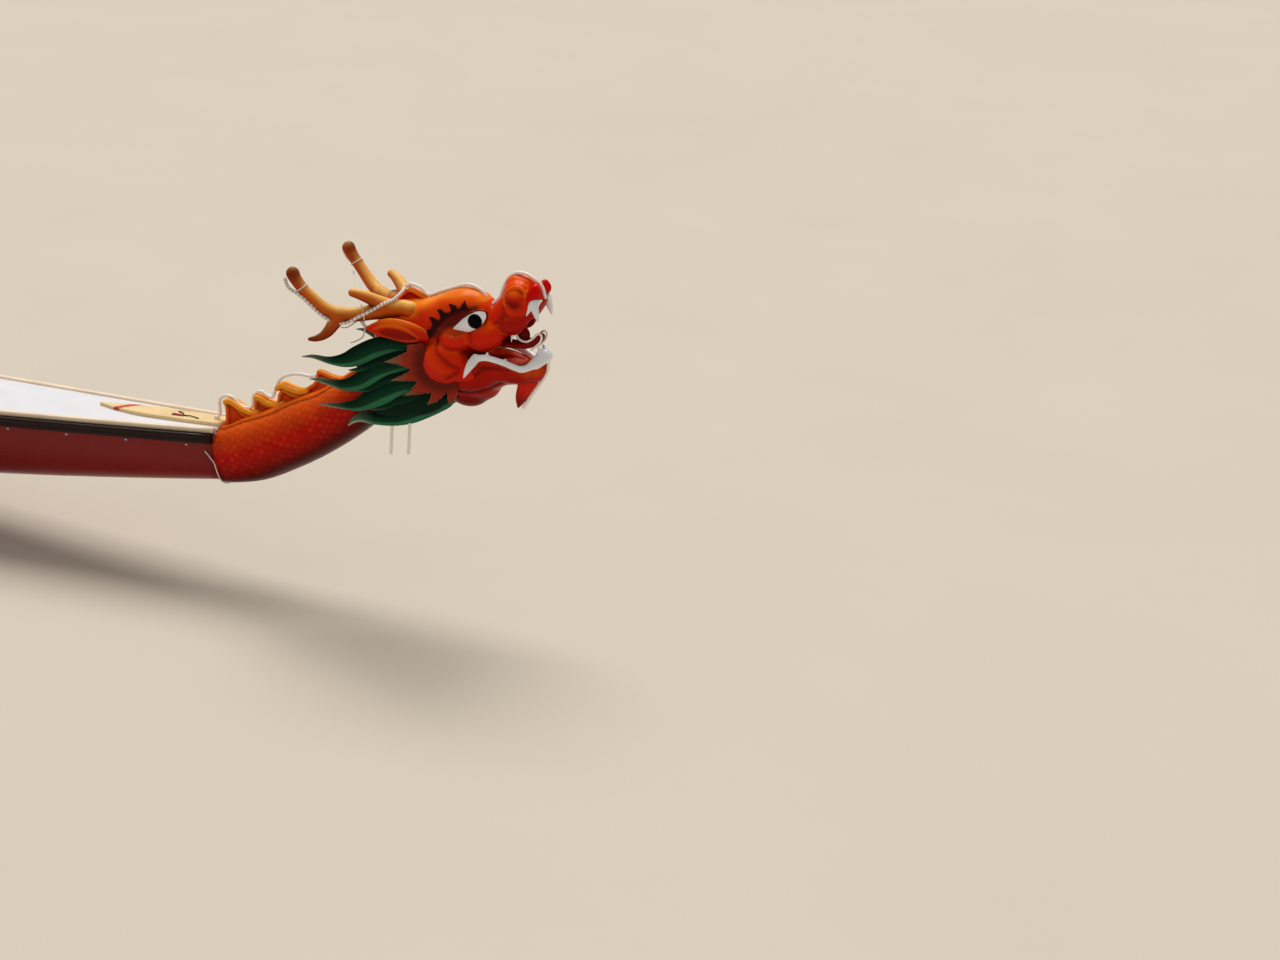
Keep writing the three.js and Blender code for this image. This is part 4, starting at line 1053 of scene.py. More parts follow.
# Bow figure, in millimetres ahead of the hull's end. Sweep rows: x, y, z, half width, half height.
NECK = [
    (1, 0, 553, 105, 123), (60, 0, 561, 110, 126), (170, 0, 602, 120, 140), (300, 0, 670, 124, 140),
    (440, 0, 750, 122, 134), (590, 0, 848, 116, 122), (730, 0, 965, 108, 115), (840, 0, 1075, 102, 114),
    (900, 0, 1150, 96, 106),
]
SCALE_ROW = 27.0
SCALES_AROUND = 25
SCALE_RELIEF = 4.6
NECK_SIZE = 125
SPINE_HALF_ANGLE = 0.40
# Near the hull the section is squarer, like the hull's own end
SQUARE_POWER = 3.4
SQUARE_REACH = 0.22


def uneven(row, place):
    """A fixed share from 0 to 1 for each scale, so that no two neighbours are quite alike."""
    return np.mod(np.sin(row * 12.9898 + place * 78.233) * 43758.5453, 1)


def round_scales(down, across):
    """Height from 0 to 1 of hand-cut round domes in rows, each row half a scale over."""
    height = np.zeros(np.broadcast(down, across).shape)
    first = np.floor(down)
    for row in (first - 1, first, first + 1, first + 2):
        side = across - 0.5 * np.mod(row, 2)
        place = np.mod(np.round(side), SCALES_AROUND)
        one, other = uneven(row, place), uneven(place + 3, row + 7)
        side = side - np.round(side) + 0.16 * (one - 0.5)
        reach = ((down - row + 0.2 * (other - 0.5)) / 0.70) ** 2 + (side / 0.58) ** 2
        height = np.maximum(height, np.sqrt(np.clip(1 - reach, 0, 1)) * (0.72 + 0.28 * one))
    return height


def scaled_body(rows, steps, around):
    """A neck or tail: a smooth spine between two raised cords on top, and round scales over the rest. Orange on top
    and dark underneath, partly paint and partly painted light and shade, with painted shade between the scales, a
    painted highlight on each scale and a painted shadow under the cords.
    """
    length = np.linalg.norm(np.diff(np.array(rows)[:, :3], axis=0), axis=1).sum()

    def relief(angle, along):
        from_top = np.abs(np.mod(angle - pi / 2 + pi, 2 * pi) - pi)
        scales = round_scales((1 - along) * length / SCALE_ROW, (angle - pi / 2) / (2 * pi) * SCALES_AROUND)
        wave = SPINE_HALF_ANGLE + 0.05 * np.sin(along * 26)
        return from_top, scales, wave

    def outline(angle, along):
        from_top, scales, wave = relief(angle, along)
        scaly = np.clip((from_top - wave - 0.06) / 0.06, 0, 1)
        cords = 1.5 * np.exp(-((from_top - wave) / 0.06) ** 2) + np.exp(-((from_top - wave + 0.17) / 0.05) ** 2)
        square = np.clip(1 - along / SQUARE_REACH, 0, 1)
        power = 2 + (SQUARE_POWER - 2) * square * square * (3 - 2 * square)
        fading = np.clip((from_top - 1.8) / 0.7, 0, 1)
        raised = scaly * (1 - 0.85 * fading) * (scales - 1) + cords
        return superellipse(angle, power) * (1 + raised * SCALE_RELIEF / NECK_SIZE)

    rings, along, angle = swept_rings(rows, around, steps, outline, round_ends=False)
    from_top, scales, wave = relief(angle[None, :], along[:, None])
    # Orange on top, dark underneath: partly paint, partly painted highlight and painted shade
    low = np.clip((from_top - 1.6) / 0.8, 0, 1)[..., None]
    high = np.clip((1.5 - from_top) / 1.15, 0, 1)[..., None] ** 1.1
    tint = NECK_SIDE + high * (NECK_TOP - NECK_SIDE) + low * (NECK_LOW - NECK_SIDE)
    # Painted shade between the scales, a painted highlight on each, and a painted shadow just under the cords
    shade = 0.74 + 0.34 * scales ** 0.8
    shine = np.clip(scales - 0.7, 0, 1)[..., None] * 1.5 * (1 - low)
    under = 1 - 0.55 * np.exp(-((from_top - wave - 0.09) / 0.035) ** 2)
    tint = tint * (np.where(from_top < wave + 0.06, 1.1, shade) * under)[..., None]
    return lofted(rings, tint + shine * 0.35 * (NECK_TOP - tint))


def outline_distance(outline, x, z):
    """Signed distance from points to a closed outline of x, z points: below 0 inside."""
    edge = np.array(outline, float)
    nearest = np.full((x.size, z.size), 1e9)
    inside = np.zeros(nearest.shape, bool)
    x, z = x.reshape(-1, 1), z.reshape(1, -1)
    for a, b in zip(edge, np.roll(edge, -1, axis=0)):
        nearest = np.minimum(nearest, squared_distance(x, z, a, b))
        step = b - a
        crosses = (a[1] > z) != (b[1] > z)
        level = a[0] + (z - a[1]) / (step[1] if abs(step[1]) > 1e-9 else 1e-9) * step[0]
        inside ^= crosses & (x < level)
    distance = np.sqrt(nearest)
    return np.where(inside, -distance, distance)


def smooth_loop(outline, steps=4):
    """A closed outline of x, z points, rounded by a smooth curve."""
    loop = np.array(outline, float)
    return smooth_rows(np.vstack([loop, loop[:1]]), steps)[:-1]


FIN_CELL = 4.1
FIN_MARGIN = 14
FIN_RIM = 15
FIN_ROUNDING = 0.62


def finned(outline, rim, web, rim_paint, web_paint):
    """A carved fin: a thin web inside a thick rolled rim that follows its smoothed outline."""
    outline = smooth_loop(outline)
    low, high = outline.min(0) - FIN_MARGIN, outline.max(0) + FIN_MARGIN
    clay = Clay((low[0], 0, low[1]), (high[0], rim + FIN_MARGIN + 2, high[1]), FIN_CELL)
    x, y, z = np.ix_(*clay.axes)
    flat = outline_distance(outline, x, z)[:, None, :]
    share = np.clip((flat + FIN_RIM + 6) / 9, 0, 1)
    share = share * share * (3 - 2 * share)
    ease = rim * FIN_ROUNDING
    across = np.abs(y) - (web + (rim - web) * share) + ease
    along = flat + ease
    clay.field = (np.sqrt(np.maximum(across, 0) ** 2 + np.maximum(along, 0) ** 2) - ease
                  + np.minimum(np.maximum(across, along), 0)).astype(np.float32)
    mix = np.broadcast_to(share, clay.field.shape)[..., None]
    clay.paint = (web_paint + mix * (rim_paint - web_paint)).astype(np.float32)
    return clay


NECK_CREST = [
    (4, 600), (2, 740), (-6, 774), (12, 789), (52, 776), (92, 746), (124, 744), (141, 760),
    (144, 804), (162, 821), (206, 804), (238, 803), (256, 826), (264, 862), (290, 888), (330, 874),
    (378, 876), (402, 912), (438, 944), (450, 992), (468, 998), (566, 986), (680, 1060), (760, 1100),
    (760, 900), (400, 700),
]
# Curled wave crests on each side of the fins, as x, z
CREST_ROLLS = [
    [(6, 780), (26, 786), (54, 776), (88, 762), (132, 752), (164, 760)],
    [(156, 826), (180, 824), (204, 812), (236, 806), (266, 808), (290, 820)],
    [(262, 886), (284, 900), (322, 892), (366, 886), (402, 896)],
]
HEAD_CREST = [
    (782, 1320), (838, 1384), (880, 1418), (930, 1409), (974, 1382), (998, 1340), (998, 1302), (784, 1294),
]
# Rows along the crown, from the head crest to the valley before the snout
CROWN = [
    (860, 0, 1312, 80, 54), (920, 0, 1328, 86, 54), (968, 0, 1338, 90, 51), (1023, 0, 1352, 94, 59),
    (1080, 0, 1366, 96, 71), (1127, 0, 1376, 96, 80), (1165, 0, 1380, 92, 81), (1200, 0, 1378, 84, 68),
    (1232, 0, 1372, 66, 40), (1250, 0, 1366, 44, 18),
]
BRIDGE = [
    (1130, 0, 1320, 92, 84), (1245, 0, 1324, 78, 50), (1292, 0, 1348, 72, 50), (1338, 0, 1402, 64, 58),
    (1376, 0, 1452, 58, 60),
]
UPPER_JAW = [
    (1180, 0, 1255, 100, 62), (1300, 0, 1302, 82, 52), (1345, 0, 1337, 76, 50), (1384, 0, 1374, 72, 52),
    (1442, 0, 1428, 62, 38), (1472, 0, 1458, 48, 26),
]
NOSTRIL_RIM = [
    (1349, 72, 1440), (1349, 75, 1462), (1357, 76, 1488), (1374, 76, 1506), (1396, 74, 1517), (1420, 70, 1515),
    (1436, 67, 1500), (1436, 69, 1488),
]
# The rim where the nose meets the lip
NOSE_RIM = [(1434, 44, 1522), (1442, 54, 1502), (1438, 65, 1478), (1428, 74, 1456)]
# A pale band along the top of the crown, as x and z
CROWN_BAND = [
    (966, 1382), (998, 1402), (1044, 1430), (1119, 1447), (1190, 1462), (1216, 1452), (1230, 1440), (1242, 1432),
]


def skull():
    clay = Clay((700, 0, 940), (1540, 176, 1580), 3.7)
    clay.ball((950, 0, 1258), (232, 110, 118), FACE, (-14, 0))
    clay.ball((1080, 0, 1150), (160, 104, 120), FACE, soft=30)
    clay.rope(CROWN, 0.7 * FACE + 0.3 * ORANGE, soft=20)
    clay.ball((1150, 40, 1330), (128, 58, 80), FACE, (-22, -10), soft=24)
    clay.rope(BRIDGE, FACE, soft=18)
    clay.rope(UPPER_JAW, JAW_RED, soft=16)
    # Full cheeks and muzzle with seams between them
    clay.ball((1172, 78, 1134), (86, 40, 52), FACE, (6, 0), soft=24)
    clay.ball((1092, 96, 1156), (102, 58, 88), FACE, soft=14)
    clay.ball((1142, 88, 1266), (72, 50, 49), FACE, (-10, 0), soft=11)
    clay.ball((1268, 62, 1290), (80, 46, 59), FACE, (-32, -8), soft=11)
    clay.ball((1386, 46, 1362), (60, 40, 44), JAW_RED, (-42, -8), soft=10)
    # Eye socket, painted dark as the painted shade under the brow, and the lid round the eye
    clay.ball((1190, 124, 1362), (114, 36, 60), SOCKET_SHADE, (-30, -12), soft=6, cut=True, spill=9)
    lid = [(x, eye_plane(x) + 1, z, 5, 5) for x, z in EYE_OUTLINE + EYE_OUTLINE[:1]]
    clay.rope(lid, FACE_DEEP, soft=5)
    # Nose: a full bulb, and round nostrils under a curled rim. The orange on the top of the bulb and of each nostril
    # is painted highlight, the dark under each nostril painted shade.
    clay.ball((1368, 0, 1492), (52, 50, 57), NOSE, soft=12)
    clay.ball((1392, 0, 1486), (64, 48, 58), NOSE, (-10, 0), soft=10)
    clay.ball((1388, 36, 1468), (62, 46, 64), NOSE, (-20, 0), soft=8)
    clay.ball((1400, 54, 1438), (68, 34, 50), NOSE, (-32, 0), soft=5)
    clay.spray((1388, 30, 1546), (70, 60, 26), ORANGE, 0.8)
    clay.ball((1396, 98, 1470), (46, 22, 46), FACE, soft=5, cut=True, spill=6)
    clay.ball((1396, 70, 1471), (38, 33, 38), FACE, soft=3)
    clay.spray((1394, 106, 1508), (44, 40, 26), ORANGE, 1.0)
    clay.spray((1400, 110, 1446), (46, 40, 28), NOSTRIL_SHADE, 0.95)
    clay.rope([(*point, 8, 8) for point in NOSTRIL_RIM], ORANGE, soft=9)
    clay.rope([(*point, 6, 6) for point in NOSE_RIM], ORANGE, soft=7)
    # Roof of the mouth
    clay.ball((1350, 0, 1290), (150, 50, 40), MOUTH, (-38, 0), soft=12, cut=True, spill=14)
    clay.ball((1236, 0, 1180), (134, 80, 40), MOUTH, (-8, 0), soft=12, cut=True, spill=10)
    draw_face(clay)
    return clay


# Lines drawn on the face: width, height, paint and its amount, how far out they start, and x, z points
FACE_LINES = [
    # Raised rims along the lower edges of the bulges, painted orange as painted highlight
    (5, 1.8, ORANGE, 0.25, 50, [(1076, 1262), (1090, 1236), (1120, 1220), (1156, 1218), (1192, 1230)]),
    (5, 1.8, ORANGE, 0.25, 50, [(1196, 1292), (1206, 1258), (1236, 1236), (1280, 1232), (1318, 1252), (1338, 1276)]),
    (5, 1.8, ORANGE, 0.25, 50, [(1326, 1330), (1350, 1314), (1384, 1312), (1420, 1330), (1440, 1350)]),
    # The cheek's comma: a soft valley painted dark as painted shade, with a full ridge below it painted orange as
    # painted highlight
    (11, -5.5, FACE_DEEP, 0.5, 60, [(1057, 1256), (1074, 1216), (1116, 1186), (1149, 1169), (1172, 1155),
                                    (1168, 1136), (1150, 1122), (1123, 1103)]),
    (15, 4.5, ORANGE, 0.2, 60, [(1021, 1212), (1039, 1192), (1076, 1164), (1113, 1141), (1140, 1138)]),
    # The cheek's outline, a shallow groove painted dark as painted shade
    (12, -1.5, FACE_DEEP, 0.7, 60, [(992, 1204), (988, 1160), (996, 1116), (1024, 1084), (1068, 1068),
                                    (1126, 1064), (1176, 1068)]),
    # The muzzle's seam, painted dark as painted shade, then the painted shadow under the brow and its edge
    (8, -2.2, FACE_DEEP, 0.4, 40, [(1296, 1346), (1326, 1372), (1342, 1404), (1338, 1436)]),
    (24, 0, SOCKET_SHADE, 1.0, 60, [(1000, 1246), (1050, 1286), (1094, 1322), (1140, 1354), (1180, 1384), (1220, 1404)]),
    (5, 2.6, FACE_DEEP, 0.5, 60, [(1036, 1250), (1076, 1306), (1121, 1347), (1169, 1376), (1211, 1392)]),
    (15, 0, AMBER, 0.95, 0, CROWN_BAND),
]
# Soft patches of paint on the face: centre, radii, paint and its amount. The orange patches on the tops of the cheek
# bulges and the crown are painted highlight.
FACE_PATCHES = [
    ((914, 80, 1352), (44, 60, 34), AMBER, 0.8), ((920, 60, 1398), (90, 120, 34), AMBER, 0.95),
    ((1130, 60, 1294), (60, 120, 20), ORANGE, 0.3), ((1262, 60, 1334), (50, 120, 22), ORANGE, 0.3),
    ((1060, 60, 1236), (50, 120, 20), ORANGE, 0.2), ((1150, 60, 1440), (120, 120, 26), ORANGE, 0.5),
    ((1450, 50, 1436), (40, 60, 40), LIP, 0.5),
]


def draw_face(clay):
    """Seams, rims and paint on the cheeks, muzzle and brow, with painted shade in the grooves and under the brow and
    painted highlight on the ridges and on the tops of the bulges.
    """
    for width, height, paint, amount, out_from, points in FACE_LINES:
        clay.stroke(points, width, height, paint, amount, out_from)
    for patch in FACE_PATCHES:
        clay.spray(*patch)


def lower_jaw():
    clay = Clay((970, 0, 940), (1540, 150, 1260), 3.5)
    jaw = [(1090, 0, 1095, 104, 75), (1200, 0, 1090, 102, 70), (1280, 0, 1116, 93, 58), (1340, 0, 1136, 87, 49),
           (1400, 0, 1142, 78, 46), (1452, 0, 1160, 62, 44), (1478, 0, 1176, 44, 34)]
    clay.rope(jaw, JAW_RED)
    clay.ball((1160, 0, 1040), (98, 68, 80), JAW_RED, soft=14)
    clay.ball((1228, 0, 1070), (74, 70, 70), JAW_RED, soft=16)
    clay.ball((1458, 0, 1160), (44, 52, 48), JAW_RED, soft=10)
    # The lip is a full roll along the jaw's edge, with folds below it that fan out from the tusk
    lip = [(1180, 92, 1140), (1240, 99, 1178), (1300, 95, 1182), (1370, 87, 1170), (1425, 74, 1152),
           (1462, 56, 1172), (1482, 36, 1194), (1490, 8, 1200)]
    clay.rope([(*p, 15, 15) for p in lip], JAW_RED, soft=6)
    wall = [(1190, 84, 1120, 24, 36), (1250, 84, 1142, 24, 38), (1310, 80, 1150, 22, 36), (1370, 72, 1146, 22, 32),
            (1425, 58, 1140, 22, 26)]
    clay.rope(wall, JAW_RED, soft=14)
    clay.ball((1330, 0, 1228), (132, 68, 50), MOUTH, (-4, 0), soft=8, cut=True, spill=12)
    # Each fold: a groove painted dark as painted shade, with a raised ridge below it
    upper_fold = [(1132, 1096), (1205, 1105), (1241, 1131), (1264, 1155), (1288, 1170), (1342, 1176), (1396, 1170)]
    throat_fold = [(1080, 1062), (1168, 1048), (1240, 1058), (1290, 1080), (1330, 1106), (1372, 1120)]
    for fold, lift, dark in ((upper_fold, 20, 0.55), (throat_fold, 16, 0.8)):
        clay.stroke([(x + 5, z - lift) for x, z in fold], 11, 3.2, JAW_RED, 0.3, out_from=20)
        clay.stroke(fold, 7, -3.4, JAW_SHADE, dark, out_from=20)
    clay.spray((1466, 40, 1175), (40, 70, 34), ORANGE, 0.6)
    # Painted shade under the jaw
    clay.spray((1190, 0, 976), (190, 130, 50), JAW_SHADE, 0.8)
    clay.spray((1318, 0, 1190), (110, 70, 30), MOUTH_RED, 0.95)
    # A pink painted highlight on the mouth's bright red floor
    clay.spray((1360, 40, 1196), (50, 40, 20), MOUTH_PINK_HIGHLIGHT, 0.6)
    return clay


def upper_lip():
    clay = Clay((1370, 0, 1420), (1560, 110, 1550), 2.8)
    clay.rope([(1469, 46, 1500, 17, 28), (1458, 60, 1486, 12, 20), (1446, 69, 1468, 6, 10)], LIP, soft=6)
    clay.ball((1470, 42, 1501), (20, 24, 33), LIP, soft=6)
    clay.ball((1458, 12, 1496), (20, 34, 34), LIP, soft=6)
    return clay


def upper_teeth():
    clay = Clay((1350, 0, 1260), (1540, 110, 1500), 2.6)
    gum = [(1457, 66, 1446, 7, 11), (1469, 63, 1455, 10, 16), (1479, 53, 1460, 10, 16), (1485, 34, 1463, 7, 8),
           (1488, 14, 1465, 6, 6), (1488, 0, 1465, 6, 6)]
    clay.rope(gum, TOOTH, soft=5)
    clay.rope([(1472, 61, 1454, 16, 20), (1481, 63, 1430, 13, 15), (1489, 63, 1407, 8, 10), (1496, 63, 1384, 2, 2)],
              TOOTH, soft=6)
    clay.rope([(1458, 65, 1440, 8, 12), (1451, 66, 1422, 5, 7), (1443, 66, 1403, 1.5, 1.5)], TOOTH, soft=4)
    clay.rope([(1384, 50, 1352, 7, 14), (1381, 54, 1318, 6, 9), (1377, 55, 1298, 4, 5), (1374, 55, 1281, 1.5, 1.5)],
              TOOTH, soft=4)
    return clay


def lower_teeth():
    clay = Clay((1180, 0, 1100), (1540, 150, 1300), 2.9)
    band = [(1234, 106, 1200, 8, 15), (1262, 105, 1209, 8, 14), (1290, 103, 1213, 8, 14), (1330, 99, 1208, 8, 13),
            (1370, 92, 1199, 8, 14), (1405, 84, 1187, 9, 14), (1432, 74, 1180, 10, 15), (1458, 60, 1187, 10, 18),
            (1481, 42, 1206, 11, 24), (1495, 22, 1224, 10, 29), (1499, 0, 1230, 10, 31)]
    clay.rope(band, TOOTH, soft=4)
    tusk = [(1242, 106, 1204, 12, 20), (1227, 120, 1180, 13, 18), (1213, 128, 1150, 8, 11), (1200, 131, 1120, 2, 2)]
    clay.rope(tusk, TOOTH, soft=5)
    for x, y, z, high in ((1290, 102, 1222, 16), (1366, 91, 1208, 10)):
        clay.rope([(x, y, z - 6, 7, 11), (x, y - 2, z + high * 0.5, 5, 6), (x + 1, y - 4, z + high, 1.5, 1.5)],
                  TOOTH, soft=4)
    front = [(1492, 20, 1238, 10, 14), (1487, 21, 1254, 8, 10), (1477, 22, 1268, 2, 2)]
    clay.rope(front, TOOTH, soft=7)
    return clay


def tongue():
    clay = Clay((1180, 0, 1150), (1540, 90, 1380), 3.0)
    blade = [(1236, 0, 1246, 44, 14), (1296, 0, 1256, 46, 14), (1353, 0, 1258, 42, 13), (1412, 0, 1261, 34, 14),
             (1442, 0, 1274, 29, 17), (1464, 0, 1292, 25, 20), (1478, 0, 1305, 21, 17), (1487, 0, 1311, 12, 10)]
    # The tongue is dark maroon, partly its own colour and partly painted shade
    clay.rope(blade, TONGUE_DARK, soft=4)
    clay.ball((1330, 0, 1284), (110, 8, 24), TONGUE_DARK, (-3, 0), soft=8, cut=True, spill=5)
    clay.ball((1398, 0, 1303), (33, 13, 36), FACE_DEEP, soft=8)
    return clay


def beard():
    clay = Clay((1350, 0, 970), (1510, 60, 1210), 3.2)
    clay.rope([(1432, 0, 1138, 34, 50), (1416, 0, 1085, 28, 34), (1398, 0, 1035, 19, 24), (1386, 0, 992, 4, 5)],
              FACE, soft=4)
    for y, forward in ((24, 10), (10, 20)):
        clay.rope([(1440 + forward, y, 1136, 10, 12), (1426 + forward, y, 1086, 8, 10),
                   (1402 + forward / 2, y * 0.7, 1036, 6, 7), (1390, y * 0.4, 1000, 2, 2)], FACE, soft=4)
    clay.spray((1388, 0, 1010), (60, 60, 60), FACE_DEEP, 0.8)
    return clay


def ear():
    clay = Clay((735, 70, 1195), (1040, 186, 1345), 3.2, whole=True)
    clay.rope([(1010, 98, 1258, 14, 22), (985, 110, 1263, 16, 36), (925, 128, 1274, 16, 46), (862, 142, 1280, 14, 42),
               (805, 151, 1272, 9, 25), (760, 157, 1269, 2, 3)], FACE, soft=4)
    # Orange on the top and along the rims, partly paint and partly painted highlight; painted shade in the hollow and
    # on the lower half
    clay.spray((890, 145, 1316), (120, 60, 22), ORANGE, 0.9)
    clay.spray((905, 145, 1246), (110, 60, 26), FACE_DEEP, 0.5)
    clay.stroke([(838, 1262), (880, 1266), (930, 1262), (972, 1250)], 18, -5.0, FACE_DEEP, 0.6, out_from=100)
    clay.stroke([(800, 1270), (842, 1288), (895, 1294), (948, 1282), (990, 1256)], 6, 3.2, ORANGE, 0.8, out_from=100)
    clay.stroke([(800, 1256), (850, 1238), (905, 1230), (960, 1234), (992, 1244)], 6, 2.6, ORANGE, 0.4, out_from=100)
    return clay


ANTLER = [
    (918, 64, 1346, 36, 36), (872, 66, 1346, 36, 36), (770, 112, 1326, 32, 32), (690, 156, 1314, 29, 29),
    (610, 194, 1330, 27, 27), (528, 222, 1396, 24, 24), (482, 229, 1446, 25, 25), (465, 229, 1472, 28, 28),
]
ANTLER_PRONGS = [
    [(656, 172, 1312, 30, 30), (635, 190, 1276, 27, 27), (618, 204, 1246, 23, 23), (598, 214, 1225, 18, 18),
     (570, 224, 1211, 13, 13), (544, 230, 1206, 8, 8)],
    [(852, 66, 1342, 33, 33), (802, 104, 1368, 29, 29), (756, 136, 1394, 24, 24), (722, 156, 1408, 20, 20),
     (706, 164, 1412, 18, 18)],
]


def antler():
    clay = Clay((425, 24, 1165), (962, 272, 1525), 3.8, whole=True)
    clay.rope(ANTLER, HORN_MID, soft=10)
    for prong in ANTLER_PRONGS:
        clay.rope(prong, HORN_MID, soft=14)
    return clay


# Where the horns are darker, as x, y, z, reach and amount
HORN_SHADES = [
    (472, 240, 1480, 62, 0.9), (552, 238, 1206, 60, 0.85), (620, 214, 1236, 60, 0.55), (770, 146, 1364, 34, 0.4),
    (690, 190, 1290, 50, 0.3),
]
MANE_LOCKS = [
    [(965, 96, 1206, 14, 30), (900, 110, 1204, 16, 34), (858, 122, 1202, 19, 40), (800, 142, 1184, 20, 44),
     (733, 163, 1147, 18, 43), (680, 180, 1124, 15, 31), (620, 197, 1118, 10, 17), (552, 214, 1128, 6, 9),
     (505, 226, 1123, 2, 2)],
    [(985, 100, 1142, 14, 34), (925, 112, 1132, 16, 38), (868, 128, 1114, 19, 42), (812, 150, 1089, 20, 44),
     (742, 170, 1040, 17, 38), (684, 184, 1020, 13, 26), (620, 195, 1023, 9, 16), (560, 202, 1027, 4, 7),
     (530, 204, 1025, 2, 2)],
    [(1010, 100, 1078, 14, 34), (957, 112, 1052, 16, 42), (895, 130, 1030, 19, 48), (845, 148, 1003, 20, 48),
     (790, 160, 969, 18, 42), (733, 166, 936, 14, 28), (665, 168, 922, 9, 15), (600, 167, 915, 5, 8),
     (546, 165, 910, 2, 2)],
    [(1138, 72, 1008, 2, 4), (1106, 78, 992, 13, 26), (1060, 88, 972, 16, 36), (1005, 100, 944, 18, 40),
     (950, 108, 914, 19, 38), (890, 115, 889, 18, 31), (830, 119, 878, 16, 29), (770, 121, 874, 14, 28),
     (725, 122, 868, 10, 20), (690, 122, 850, 6, 12), (664, 122, 822, 2, 2)],
]
MANE_SMALL_LOCKS = [
    [(980, 96, 1180, 12, 22), (900, 122, 1160, 14, 24), (820, 150, 1130, 12, 20), (750, 170, 1096, 8, 12),
     (700, 184, 1086, 2, 2)],
    [(990, 96, 1110, 12, 24), (920, 122, 1080, 14, 24), (850, 150, 1056, 12, 20), (780, 166, 1012, 8, 12),
     (720, 176, 1000, 2, 2)],
    [(1040, 92, 1030, 12, 26), (970, 112, 1000, 14, 26), (900, 134, 976, 14, 24), (840, 146, 940, 9, 14),
     (780, 150, 922, 2, 2)],
]


LOCK_POINTS = 22
LOCK_STEPS = 9
LOCK_EDGE = 1.45
LOCK_FLUTE = 0.035


def superellipse(angle, power):
    """The reach of a section between round, at power 2, and square, or sharper below 2."""
    return (np.abs(np.cos(angle)) ** power + np.abs(np.sin(angle)) ** power) ** (-1 / power)


def lock(rows, paint, edge, tip):
    """A carved lock of hair: a lens-shaped section with a ridge and a pale tip, with painted highlight along the ridge
    and the upper edge and painted shade underneath.
    """
    def outline(angle, along):
        return superellipse(angle, LOCK_EDGE) * (1 + LOCK_FLUTE * np.cos(5 * angle + 2.5 * along))

    rings, along, angle = swept_rings(rows, LOCK_POINTS, LOCK_STEPS, outline, round_ends=False)
    # Painted highlight along the ridge and the upper edge, painted shade underneath, then the pale tip
    up = np.clip(np.sin(angle)[None, :] * 1.6 - 0.55, 0, 1)[..., None]
    low = np.clip(-np.sin(angle)[None, :] * 1.4 - 0.1, 0, 1)[..., None]
    end = np.clip((along[:, None, None] - 0.72) / 0.28, 0, 1)
    crown = np.exp(-((np.sin(angle)[None, :, None] - 0.62) / 0.16) ** 2)
    tint = paint + 0.6 * crown * (edge - paint) + 0.5 * up * (edge - paint) + 0.85 * low * (0.25 * paint - paint)
    tint = tint + end ** 1.2 * np.clip(0.25 + 1.3 * up, 0, 1) * (tip - tint)
    return lofted(rings, tint)


def mane():
    # A dark core and darker small locks behind the front locks, as painted shade in the gaps between them
    core = Clay((660, 20, 850), (1170, 160, 1230), 8.0, whole=True)
    core.rope([(1080, 70, 1010, 30, 40), (960, 84, 1060, 34, 110), (860, 92, 1070, 34, 110), (760, 104, 1060, 22, 70)],
              0.5 * MANE, soft=20)
    core.rope([(1090, 98, 998, 12, 20), (1040, 106, 978, 18, 40), (950, 112, 950, 18, 44), (860, 118, 920, 14, 30),
               (800, 118, 900, 8, 14)], 0.45 * MANE, soft=16)
    shapes = [core.mesh()]
    shapes += [lock(rows, MANE, MANE_EDGE, MANE_TIP) for rows in MANE_LOCKS]
    shapes += [lock(rows, 0.6 * MANE, MANE, MANE_EDGE) for rows in MANE_SMALL_LOCKS]
    return merged(shapes)


# The plate behind the cheek ends in flame points, as x, z
RUFF_OUTLINE = [
    (1010, 1240), (940, 1222), (948, 1196), (893, 1165), (847, 1138), (907, 1133), (963, 1119), (917, 1088),
    (873, 1061), (931, 1065), (991, 1071), (964, 1036), (932, 1000), (992, 1015), (1052, 1029), (1043, 998),
    (1032, 977), (1071, 990), (1096, 1012), (1118, 1038), (1121, 1011), (1127, 988), (1148, 1006), (1160, 1022),
    (1166, 1050), (1160, 1090), (1110, 1130), (1060, 1180),
]
CHEEK_CENTRE = (1092, 1156)
RUFF_OUT = 120
RUFF_SLOPE = 0.158
RUFF_HALF_THICKNESS = 6


def ruff():
    """A plate that stands out behind the cheek, with a groove toward each point and brown-green tips, darker toward
    the cheek as painted shade.
    """
    clay = Clay((830, 84, 960), (1250, 180, 1256), 3.2, whole=True)
    x, y, z = np.ix_(*clay.axes)
    flat = outline_distance(RUFF_OUTLINE, x, z)[:, None, :]
    angle = np.arctan2(z - CHEEK_CENTRE[1], x - CHEEK_CENTRE[0])
    reach = np.hypot(x - CHEEK_CENTRE[0], z - CHEEK_CENTRE[1])
    rays = 1.1 * np.sin(angle * 21 + 1.6 * np.sin(angle * 5) + reach * 0.016)
    thin = np.clip(-flat / 14, 0.25, 1)
    middle = RUFF_OUT + RUFF_SLOPE * (CHEEK_CENTRE[0] - x)
    clay.field = np.maximum(flat, np.abs(y - middle) - RUFF_HALF_THICKNESS * thin - rays * thin).astype(np.float32)
    tip = np.clip((reach - 150) / 90, 0, 1)[..., None]
    rim = np.clip(1 + flat / 7, 0, 1)[..., None] * np.clip((reach - 110) / 60, 0, 1)[..., None]
    paint = RUFF + np.maximum(tip, 0.7 * rim) * (RUFF_EDGE - RUFF)
    # Painted shade: darker toward the cheek
    paint = paint * np.clip(0.4 + (reach - 96) / 70, 0.4, 1)[..., None]
    clay.paint = np.broadcast_to(paint, (*clay.field.shape, 3)).astype(np.float32)
    return clay


